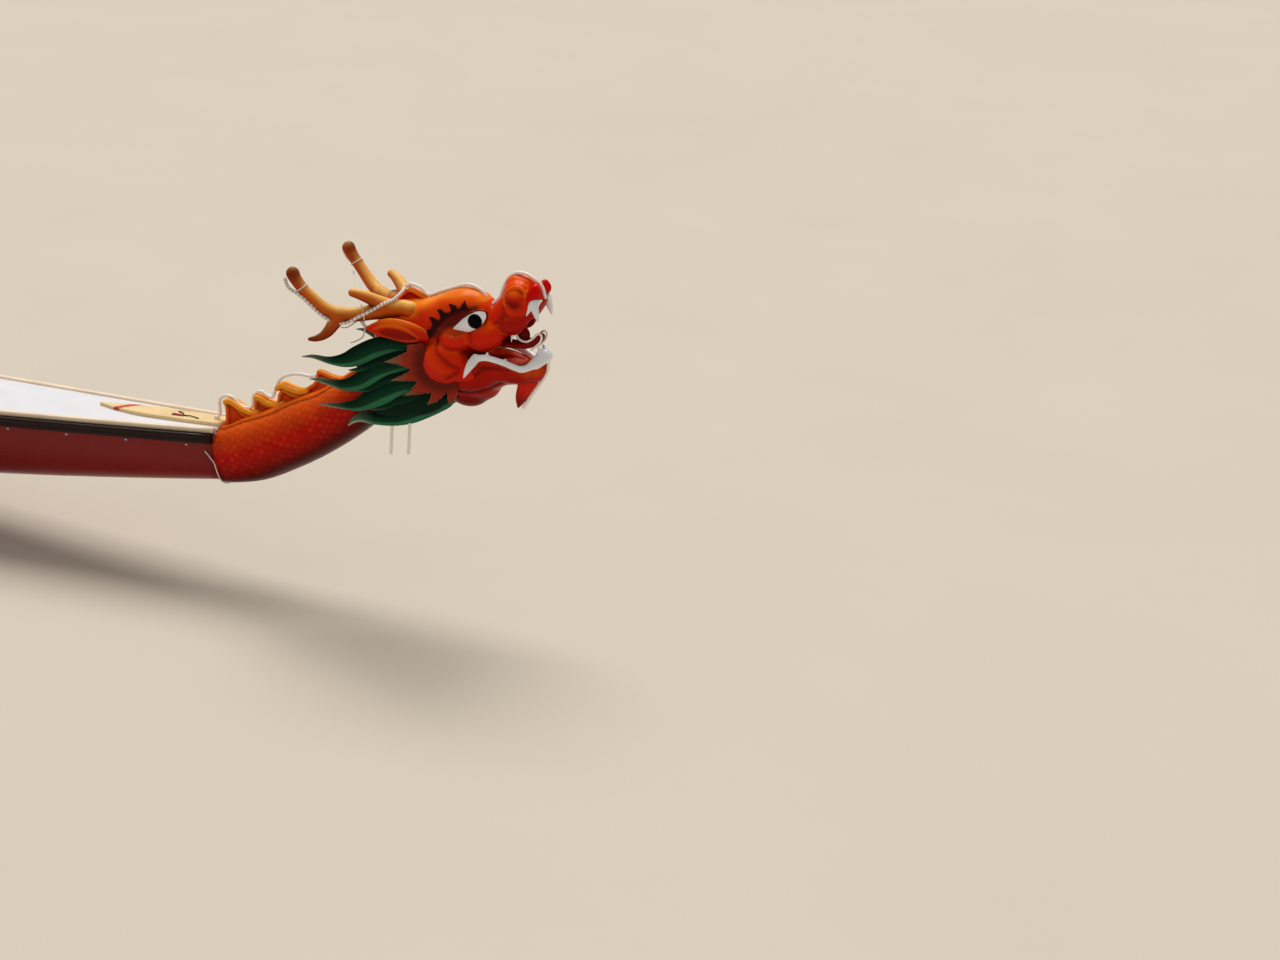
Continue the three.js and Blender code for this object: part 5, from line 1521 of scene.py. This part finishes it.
BROW_OUTLINE = [
    (1006, 1240), (1002, 1262), (1018, 1288), (1034, 1294), (1038, 1314), (1018, 1342), (1040, 1342), (1059, 1333),
    (1073, 1341), (1072, 1357), (1055, 1378), (1076, 1383), (1091, 1374), (1115, 1375), (1122, 1388), (1104, 1406),
    (1121, 1411), (1136, 1408), (1151, 1396), (1160, 1402), (1165, 1417), (1172, 1431), (1181, 1416), (1193, 1404),
    (1214, 1399), (1182, 1388), (1146, 1374), (1116, 1356), (1092, 1338), (1068, 1309), (1047, 1277), (1027, 1246),
]


def eyebrow(skull_clay):
    """A dark band with back-swept points that lies over the brow."""
    clay = Clay((960, 40, 1230), (1230, 150, 1440), 2.8, whole=True)
    x, y, z = np.ix_(*clay.axes)
    grid = np.stack(np.broadcast_arrays(x, y, z), axis=-1).reshape(-1, 3).astype(float)
    skin = skull_clay.between_cells(skull_clay.field, grid).reshape(clay.field.shape)
    flat = outline_distance(BROW_OUTLINE, x, z)[:, None, :]
    rise = np.clip(-flat / 12, 0, 1)
    clay.field = np.maximum(flat, np.abs(skin) - 3 - 4 * rise).astype(np.float32)
    edge = np.broadcast_to((1 - rise)[..., None], (*clay.field.shape, 1))
    clay.paint = (BROW + 0.4 * edge * (FACE_DEEP - BROW)).astype(np.float32)
    return clay


EYE_OUTLINE = [
    (1110, 1296), (1158, 1295), (1211, 1307), (1251, 1336), (1272, 1364), (1277, 1388), (1265, 1402), (1230, 1397),
    (1181, 1365), (1145, 1330),
]
EYE_MIDDLE = (1214, 1350)
EYE_BULGE = 15
PUPIL_AT = (1231, 1357)
PUPIL_RADIUS = 30


def eye_plane(x):
    """How far out the edge of the eye lies."""
    return 97 - 0.10 * (x - 1121)


def eye():
    """The white of one eye, an almond that bulges outward, and its pupil, a low black dome."""
    outline = smooth_loop(EYE_OUTLINE, 6)
    middle = np.array(EYE_MIDDLE)
    rings = []
    for share, lift in [(0.9, -14), (1.0, -6)] + [(cos(t), EYE_BULGE * sin(t)) for t in np.linspace(0, 1.5, 12)]:
        flat = middle + share * (outline - middle)
        rings.append(np.column_stack([flat[:, 0], eye_plane(flat[:, 0]) + lift, flat[:, 1]]))
    white = lofted(np.array(rings), TOOTH)
    x, z = PUPIL_AT
    normal = unit(np.array([0.15, 1.0, 0.06]))
    pupil = dome(np.array([x, eye_plane(x) + EYE_BULGE - 0.5, z]), normal, PUPIL_RADIUS, 6.0, BLACK, around=40)
    return white, pupil


LASHING_RADIUS = 2.8
# A lashing round the joint of hull and neck, as x, y, z from its top to the centreline below
LASHING = [
    (-38, 111, 580), (-12, 113, 556), (8, 115, 536), (20, 112, 500), (28, 99, 462), (32, 71, 437), (34, 36, 427),
    (34, 0, 425),
]


def lashing():
    path = LASHING + [(x, -y, z) for x, y, z in LASHING[-2::-1]]
    return tube([(*point, LASHING_RADIUS, LASHING_RADIUS) for point in path], TIE)


def board_strap():
    """A webbing tag with two short cords, lying on the mounting board."""
    def lay(x, y, lift):
        top = 1000 * float(deck_top(HALF_LENGTH + x * MILLI)) + 1000 * BOARD_THICKNESS
        return x, y, top + lift, 2.4, 2.4

    x, y, top, _, _ = lay(-226, -22, 0)
    tag = rounded_box((x - 30, y - 9, top - 1), (x + 30, y + 9, top + 4), 2, STRAP)
    cords = [tube([lay(-198, -22, 2.4), lay(-160, -26, 5), lay(-118, -34, 2.4)], BLACK),
             tube([lay(-200, -18, 2.4), lay(-222, 4, 4), lay(-250, 18, 2.4)], BLACK)]
    return tag, merged(cords)


# Rope light over the board, the neck crest and the head, as x and z on the centreline
ROPE_ON_BOARD = [-52, -42]
ROPE_CREST = [
    (-30, 720), (-32, 774), (-11, 800), (29, 803), (67, 776), (104, 767), (131, 782), (138, 828), (169, 852),
    (200, 841), (230, 838), (248, 884), (273, 928), (321, 953), (368, 961), (414, 960), (446, 970),
]
ROPE_HEAD = [
    (850, 1409), (882, 1435), (930, 1427), (968, 1403), (1023, 1426), (1080, 1450), (1127, 1469), (1162, 1473),
    (1192, 1465), (1218, 1450), (1236, 1420), (1252, 1406), (1272, 1420), (1294, 1446), (1306, 1482), (1326, 1526),
    (1348, 1547), (1371, 1557), (1410, 1556), (1446, 1540), (1468, 1526), (1482, 1506), (1488, 1488), (1492, 1472),
]
# Down the chin and the beard
ROPE_CHIN = [
    (1506, 1244), (1515, 1224), (1516, 1196), (1513, 1166), (1498, 1134), (1479, 1104), (1453, 1064), (1433, 1030),
    (1410, 994),
]
# Round the curl of the tongue, on each side of it
ROPE_TONGUE = [
    (1406, 1352), (1388, 1340), (1380, 1318), (1388, 1296), (1406, 1284), (1430, 1284), (1455, 1301), (1471, 1319),
    (1485, 1325), (1494, 1313), (1488, 1291), (1470, 1271), (1450, 1254),
]
ROPE_TONGUE_Y = 25
ROPE_TONGUE_RADIUS = 4.5
ROPE_SHOWN_RADIUS = 7.5


def light(points, y=0, radius=ROPE_SHOWN_RADIUS):
    return tube([(x, y, z, radius, radius) for x, z in points], LIGHT_TUBE)


def crest_rope():
    on_board = [(x, 1000 * (float(deck_top(HALF_LENGTH + x * MILLI)) + BOARD_THICKNESS) + ROPE_RADIUS + 0.6)
                for x in ROPE_ON_BOARD]
    return light(on_board + ROPE_CREST)


def head_rope():
    curl = light(ROPE_TONGUE, ROPE_TONGUE_Y, ROPE_TONGUE_RADIUS)
    return merged([light(ROPE_HEAD), light(ROPE_CHIN), curl, curl.flipped()])


# The light on an antler hangs from the tip, runs under the stem and crosses over its base to the crest
ROPE_ANTLER = [
    (434, 242, 1452), (456, 249, 1416), (505, 250, 1393), (548, 240, 1358), (588, 221, 1317), (634, 202, 1287),
    (688, 185, 1286), (738, 172, 1316), (786, 146, 1345), (828, 127, 1374), (852, 93, 1385), (864, 58, 1402),
    (869, 16, 1420),
]
ANTLER_TIES = (19, 43)
TIE_POINTS = 8
TIE_RADIUS = 3.2
STRIP_BEAD = 3


def antler_rope():
    """A beaded strip of lights."""
    rows = smooth_rows([(*p, ROPE_SHOWN_RADIUS, ROPE_SHOWN_RADIUS) for p in ROPE_ANTLER], 10)
    bead = np.arange(len(rows)) % STRIP_BEAD
    rows[:, 3:] *= np.where(bead == 0, 0.8, 1.0)[:, None]
    rings, _, _ = swept_rings(rows, 10, 1, round_ends=False)
    dark = (np.arange(len(rings)) % STRIP_BEAD == 0)[:, None, None]
    tint = np.where(dark, STRIP_DARK, STRIP_PALE) * np.ones((len(rings), rings.shape[1], 1))
    return lofted(rings, tint)


def antler_ties():
    """White ties round both antlers, their loose ends, and the one that is stretched between them."""
    shapes = []
    stem = smooth_rows(ANTLER, 8)
    for k in ANTLER_TIES:
        *centre, wide, _ = stem[k]
        ahead = unit(stem[k + 1, :3] - stem[k - 1, :3])
        side = unit(np.cross(ahead, (0, 0, 1)))
        other = np.cross(ahead, side)
        ring = [np.array(centre) + (wide + 2.5) * (cos(t) * side + sin(t) * other)
                + ahead * 2.5 * sin(t) for t in np.linspace(0, 2 * pi, 25)[:-1]]
        shapes.append(ring_tube(ring, 2.6, TIE))
    *ends, stretched = (tube([(*point, TIE_RADIUS, TIE_RADIUS) for point in points], TIE)
                        for points in (*TIE_ENDS, TIE_ACROSS))
    both = merged(shapes + ends)
    return merged([both, both.flipped(), stretched])


# Below the base, as x, y, z
TIE_ENDS = [
    [(724, 136, 1292), (740, 142, 1278), (752, 142, 1262), (748, 141, 1240), (738, 141, 1220), (712, 141, 1202),
     (688, 141, 1191)],
    [(736, 134, 1290), (756, 140, 1272), (776, 140, 1276), (798, 138, 1286)],
    [(718, 138, 1290), (694, 142, 1270), (666, 142, 1252), (642, 142, 1249)],
]
TIE_ACROSS = [(505, 200, 1380), (578, 93, 1370), (651, -14, 1360), (723, -122, 1350)]


def ring_tube(loop, radius, tint):
    """A thin closed loop of cord through points."""
    loop = np.array(loop)
    ahead = unit(np.roll(loop, -1, axis=0) - np.roll(loop, 1, axis=0))
    out = unit(loop - loop.mean(0))
    rings = loop[:, None] + radius * circle(out[:, None], np.cross(ahead, out)[:, None], TIE_POINTS)
    faces = [[a, d, c, b] for a, b, c, d in ring_faces(len(loop), TIE_POINTS, looped=True)]
    return Shape(rings.reshape(-1, 3), faces, tint)


def horn_paint(shape):
    # Painted highlight on the horns' tops and painted shade in their creases and underneath
    painted = airbrush_and_painted_light(shape, HORN_TOP, HORN_LOW, 0.85, 0.6, reach=8, underside_shade_amount=0.95)
    for x, y, z, reach, amount in HORN_SHADES:
        near = np.linalg.norm(painted.points - (x, y, z), axis=1)
        painted.tint = painted.tint + amount * np.exp(-(near / reach) ** 2)[:, None] * (HORN_END - painted.tint)
    return painted


def add_bow_figure():
    # Carved pieces get painted highlight on their tops and painted shade in their creases and underneath
    def carved(clay, top=ORANGE, shade_paint=FACE_DEEP, top_amount=0.34, crease_shade_amount=0.65):
        return airbrush_and_painted_light(clay.mesh(), top, shade_paint, top_amount, crease_shade_amount)

    skull_clay = skull()
    crest = finned(NECK_CREST, 17, 9, CREST_RIM, CREST_WEB)
    for roll in CREST_ROLLS:
        crest.rope([(x, 14, z, 13, 13) for x, z in roll], AMBER, soft=6)
    head_fin = finned(HEAD_CREST, 20, 9, ORANGE, FACE)
    rows = [("neck_body", scaled_body(NECK, 28, 176), "painted", "neck_red", "neck"),
            ("neck_fins", carved(crest, AMBER, FACE_DEEP, 0.5, 0.7), "painted", "crest_orange", "neck_crest"),
            ("head_fin", carved(head_fin, AMBER, FACE_DEEP, 0.5, 0.7), "painted", "crest_orange", "head_crest"),
            ("skull_carving", carved(skull_clay), "painted", "face_red", "skull"),
            ("jaw_carving", carved(lower_jaw()), "painted", "face_red", "lower_jaw"),
            ("lip_lobes", carved(upper_lip(), LIP, FACE_DEEP, 0.3, 0.5), "painted", "lip_red", "upper_lip"),
            ("teeth_upper", upper_teeth().mesh(), "tooth", "tooth_white", "upper_teeth"),
            ("teeth_lower", lower_teeth().mesh(), "tooth", "tooth_white", "lower_teeth"),
            ("tongue_leaf", carved(tongue(), LIP, MOUTH, 0.3, 0.5), "painted", "tongue_red", "tongue"),
            ("beard_tuft", carved(beard()), "painted", "face_red", "beard")]
    white, pupil = eye()
    pairs = [("ear_leaf", carved(ear(), AMBER, FACE_DEEP, 0.5, 0.8), "painted", "face_red", "ear"),
             ("antler_horn", horn_paint(antler().mesh()), "painted", "horn_yellow", "antler"),
             ("eyebrow_band", eyebrow(skull_clay).mesh(), "painted", "brow_dark", "eyebrow"),
             ("eye_white", white, "tooth", "tooth_white", "eye"),
             ("mane_locks", mane(), "painted", "mane_green", "mane"),
             ("ruff_petals", carved(ruff(), RUFF, RUFF_CREASE_SHADE, 0.1, 0.5), "painted", "ruff_brown", "ruff"),
             ("light_antler", antler_rope(), "strip", "light_tube", "rope_light_antler"),
             ("pupil", pupil, "pupil", "brow_dark")]
    for name, side in SIDES.items():
        rows += [(f"{label}_{name}", shape.on(side), finish, slot, *(f"{node}_{name}" for node in nodes))
                 for label, shape, finish, slot, *nodes in pairs]
    tag, cords = board_strap()
    rows += [("antler_ties", antler_ties(), "tie", "light_tube"),
             ("neck_lashing", lashing(), "tie", "light_tube"),
             ("strap_tag", tag, "strap", "face_red"),
             ("strap_cords", cords, "black", "base_black"),
             ("light_crest", crest_rope(), "light", "light_tube", "rope_light_crest"),
             ("light_head", head_rope(), "light", "light_tube", "rope_light_head")]
    for name, shape, *looks in rows:
        piece(name, from_bow(shape), *looks)


add_bow_figure()


# Tail, in millimetres aft of the hull's stern end
TAIL = [
    (1, 0, 553, 108, 121), (60, 0, 558, 110, 122), (250, 0, 592, 102, 114), (480, 0, 676, 88, 98),
    (700, 0, 812, 72, 80), (870, 0, 985, 56, 62), (965, 0, 1160, 42, 46), (1005, 0, 1290, 30, 32),
    (1016, 0, 1370, 16, 16),
]
TAIL_CREST = [
    (4, 600), (4, 752), (24, 764), (60, 750), (120, 722), (148, 728), (158, 790), (176, 803), (200, 798),
    (262, 758), (298, 768), (306, 838), (324, 853), (350, 850), (412, 812), (448, 830), (454, 904), (474, 922),
    (500, 920), (566, 888), (598, 914), (604, 994), (624, 1011), (650, 1008), (708, 980), (734, 1018),
    (736, 1092), (756, 1106), (790, 1104), (830, 1092), (846, 1140), (842, 1212), (858, 1224), (900, 1220),
    (958, 1238), (960, 1100), (800, 860), (500, 690),
]
TAIL_FLAMES = [
    [(1000, 0, 1230, 24, 34), (1006, 0, 1330, 20, 40), (1020, 0, 1430, 15, 34), (1090, 0, 1505, 9, 20),
     (1150, 0, 1556, 2, 2)],
    [(1000, 0, 1230, 22, 30), (930, 0, 1370, 16, 34), (900, 0, 1460, 10, 21), (930, 0, 1540, 2, 2)],
    [(1000, 0, 1200, 22, 30), (1110, 0, 1320, 16, 32), (1200, 0, 1370, 10, 19), (1290, 0, 1450, 2, 2)],
    [(980, 0, 1120, 22, 28), (1090, 0, 1180, 14, 28), (1190, 0, 1200, 9, 17), (1300, 0, 1270, 2, 2)],
    [(960, 0, 1120, 22, 28), (850, 0, 1250, 14, 28), (790, 0, 1330, 9, 17), (800, 0, 1410, 2, 2)],
]
SIDE_FLAMES = [
    [(985, 18, 1190, 16, 26), (960, 44, 1330, 12, 28), (985, 52, 1420, 8, 16), (1040, 54, 1490, 2, 2)],
    [(990, 20, 1150, 16, 26), (1070, 50, 1250, 12, 26), (1150, 58, 1310, 8, 15), (1230, 58, 1390, 2, 2)],
    [(960, 24, 1080, 16, 24), (900, 54, 1190, 12, 24), (850, 60, 1270, 8, 14), (850, 60, 1350, 2, 2)],
    [(930, 30, 1030, 14, 22), (1010, 58, 1080, 12, 24), (1090, 64, 1090, 8, 14), (1180, 62, 1140, 2, 2)],
]


def tail_flames():
    shapes = [lock(rows, MANE, MANE_EDGE, MANE_TIP) for rows in TAIL_FLAMES]
    for rows in SIDE_FLAMES:
        flame = lock(rows, 0.8 * MANE, MANE_EDGE, MANE_TIP)
        shapes += [flame.on(side) for side in SIDES.values()]
    return merged(shapes)


# The tail's fins get painted highlight on top and painted shade in their creases and underneath
tail_fins = airbrush_and_painted_light(finned(TAIL_CREST, 18, 8, AMBER, FACE).mesh(), AMBER, FACE_DEEP, 0.5, 0.7)
piece("tail_scaled", from_stern(scaled_body(TAIL, 20, 104)), "painted", "neck_red", "tail_body")
piece("tail_fins", from_stern(tail_fins), "painted", "crest_orange", "tail_crest")
piece("tail_flame_locks", from_stern(tail_flames()), "painted", "mane_green",
      "tail_flames", "tail_flame_aft_high", "tail_flame_aft_low", "tail_flame_fore")


# Steering gear, in metres. The yoke turns on a pin in the bar, and the oar tilts between its ears.
OAR_X, OAR_Y = -6.7, 0.42
YOKE_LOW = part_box("oar_yoke")[0].z
BAR_THICKNESS = 0.014
BAR_LOW = YOKE_LOW - GAP - BAR_THICKNESS
YOKE_BASE = 0.014
YOKE_RADIUS = 0.042
EAR_SIDES = (0.030, 0.042)
EAR_HALF = 0.022
TRUNNION = 0.072
OAR_PITCH = radians(15)
PIN = 0.008
BORE = 0.0095
PLATE_POINTS = 64
PLATE_BEVEL = 0.002
BAR_HALF = 0.045
FOOT_LONG = 0.041
FOOT_WIDE = 0.022
FOOT_BOLTS = (-0.028, 0.028)
LOOM = 0.022
OAR_TOP = 1.18


def bored_plate(reach, low, high):
    """A plate with a hole for the pin: its outer edge lies at a reach from the hole's centre for each angle."""
    around, bevel = PLATE_POINTS, PLATE_BEVEL
    angle = np.arange(around) / around * 2 * pi
    outer = np.array([reach(t) for t in angle])
    soft = [(0.0, bevel), (0.3 * bevel, 0.3 * bevel), (bevel, 0.0)]
    profile = [(np.full(around, BORE), low)]
    profile += [(outer - back, low + up) for up, back in soft]
    profile += [(outer - back, high - up) for up, back in soft[::-1]]
    profile += [(np.full(around, BORE), high)]
    rings = np.array([np.column_stack([r * np.cos(angle), r * np.sin(angle), np.full(around, w)]) for r, w in profile])
    return Shape(rings.reshape(-1, 3), ring_faces(len(rings), around, looped=True), STEEL)


def turned_up(shape):
    """A plate's face turned from Z to Y."""
    return shape.turned().moved(shape.points[:, [0, 2, 1]])


def shifted(shape, by):
    return shape.moved(shape.points + by)


def yoke():
    """Two ears on a round base, each bored for the oar's pin."""
    def ear_edge(angle):
        if sin(angle) >= 0:
            return EAR_HALF
        return min(EAR_HALF / max(abs(cos(angle)), 1e-6), (TRUNNION - 0.001) / abs(sin(angle)))

    shapes = [bored_plate(lambda angle: YOKE_RADIUS, 0, YOKE_BASE)]
    for side in SIDES.values():
        low, high = sorted(side * y for y in EAR_SIDES)
        shapes.append(shifted(turned_up(bored_plate(ear_edge, low, high)), (0, 0, TRUNNION)))
    return shifted(merged(shapes), (OAR_X, OAR_Y, YOKE_LOW))


def bracket():
    """A bar across the stern deck on two feet, with the pin that carries the yoke."""
    def upright(x, y, low, high, radius, **look):
        return round_bar((x, y, low), (x, y, high), radius, STEEL, **look)

    beam = float(half_beam(OAR_X))
    top = BAR_LOW + BAR_THICKNESS
    base_top = YOKE_LOW + YOKE_BASE
    foot_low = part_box("oar_bracket")[0].z
    shapes = [rounded_box((OAR_X - BAR_HALF, -beam, BAR_LOW), (OAR_X + BAR_HALF, OAR_Y, top), 0.003, STEEL),
              upright(OAR_X, OAR_Y, BAR_LOW, top, BAR_HALF, around=48, bevel=0.002),
              upright(OAR_X, OAR_Y, top - 0.002, YOKE_LOW + 0.017, PIN),
              upright(OAR_X, OAR_Y, base_top + 0.0005, base_top + 0.0065, PIN + 0.006, around=6, bevel=0.001)]
    for side in SIDES.values():
        y = side * (beam - 0.002)
        shapes.append(rounded_box((OAR_X - FOOT_LONG, y - FOOT_WIDE, foot_low),
                                  (OAR_X + FOOT_LONG, y + FOOT_WIDE, BAR_LOW + 0.002), 0.002, STEEL))
        shapes += [upright(OAR_X + end, y, top, top + 0.006, 0.009, around=6, bevel=0.001) for end in FOOT_BOLTS]
    return merged(shapes)


def on_oar(shape):
    """From the oar's own frame, its grip along X, to the boat's."""
    x, y, z = shape.points.T
    turned = np.column_stack([x * cos(OAR_PITCH) - z * sin(OAR_PITCH), y, x * sin(OAR_PITCH) + z * cos(OAR_PITCH)])
    return shape.moved(turned + (OAR_X, OAR_Y, YOKE_LOW + TRUNNION))


# Columns: place along the oar, half thickness, half height
BLADE = [(-0.90, 0.021, 0.021), (-0.96, 0.019, 0.024), (-1.08, 0.015, 0.052), (-1.22, 0.012, 0.094),
         (-1.44, 0.010, 0.108), (-1.60, 0.008, 0.106), (-1.638, 0.006, 0.094), (-1.649, 0.003, 0.074)]


def oar_wood():
    grip = OAR_TOP - 0.012
    loom = [(x, 0, 0, r, r) for x, r in ((BLADE[1][0], 0.021), (-0.5, 0.0218), (0.0, LOOM), (0.5, 0.0212),
                                         (0.9, 0.0196), (grip, 0.0184))]
    rings, _, _ = swept_rings([(x, 0, 0, thick, tall) for x, thick, tall in BLADE[::-1]], 40, 8,
                              lambda angle, along: 1 + 0.10 * np.sin(2 * angle) ** 2 * np.clip(1 - along, 0, 1),
                              round_ends=False)
    return merged([tube(loom, WOOD, around=28), lofted(rings, WOOD),
                   round_bar((grip, -0.065, 0), (grip, 0.065, 0), 0.0175, WOOD, bevel=0.006)])


piece("yoke_forged", yoke(), "steel", "steel", "oar_yoke", body="oar_yoke")
piece("bracket_bar", bracket(), "steel", "steel", "oar_bracket")
piece("oar_shaft", on_oar(oar_wood()), "wood", "oar_wood", "steering_oar", body="oar")
collar = round_bar((-0.045, 0, 0), (0.045, 0, 0), LOOM + 0.005, BLACK, around=32, bevel=0.003)
piece("oar_collar", on_oar(collar), "black", "base_black", body="oar")
pin = round_bar((0, -0.045, 0), (0, 0.045, 0), PIN, STEEL, bevel=0.001)
piece("oar_pin", on_oar(pin), "steel", "steel", body="oar")


# Floor at the waterline, open where the hull floats in it, and soft light
FLOOR_REACH = 150
FLOOR_STATIONS = 161
SKY = (1.0, 0.975, 0.94, 1)
SKY_STRENGTH = 0.40
SUN_STRENGTH = 2.5
SUN_SPREAD = 38
SUN_COLOUR = (1.0, 0.98, 0.95)
SUN_AHEAD = (0.25, -0.45, -1)


def make_stage():
    floor = bpy.data.meshes.new("floor")
    xs = np.concatenate([[-FLOOR_REACH], np.linspace(-HALF_LENGTH, HALF_LENGTH, FLOOR_STATIONS), [FLOOR_REACH]])
    near = np.maximum(hull_y(xs, 0.0) - WALL_HOLD, 0)
    points, faces = [], []
    for side in SIDES.values():
        first = len(points)
        points += [(x, side * y, 0) for x, edge in zip(xs, near) for y in (edge, FLOOR_REACH)]
        for k in range(first, len(points) - 2, 2):
            faces.append([k, k + 2, k + 3, k + 1][::side])
    floor.from_pydata(points, [], faces)
    floor.materials.append(material("floor_pale", FLOOR, (0.8, 0.9), vary=0.02, vary_scale=0.4, bump=0.0))
    thing = added("floor", floor)
    world = bpy.data.worlds.new("studio")
    world.use_nodes = True
    feed(world.node_tree, world.node_tree.nodes["Background"], {"Color": SKY, "Strength": SKY_STRENGTH})
    bpy.context.scene.world = world
    sun = added("soft_light", bpy.data.lights.new("soft_light", "SUN"))
    sun.data.energy = SUN_STRENGTH
    sun.data.angle = radians(SUN_SPREAD)
    sun.data.color = SUN_COLOUR
    sun.rotation_euler = Vector(SUN_AHEAD).to_track_quat("-Z", "Y").to_euler()


make_stage()
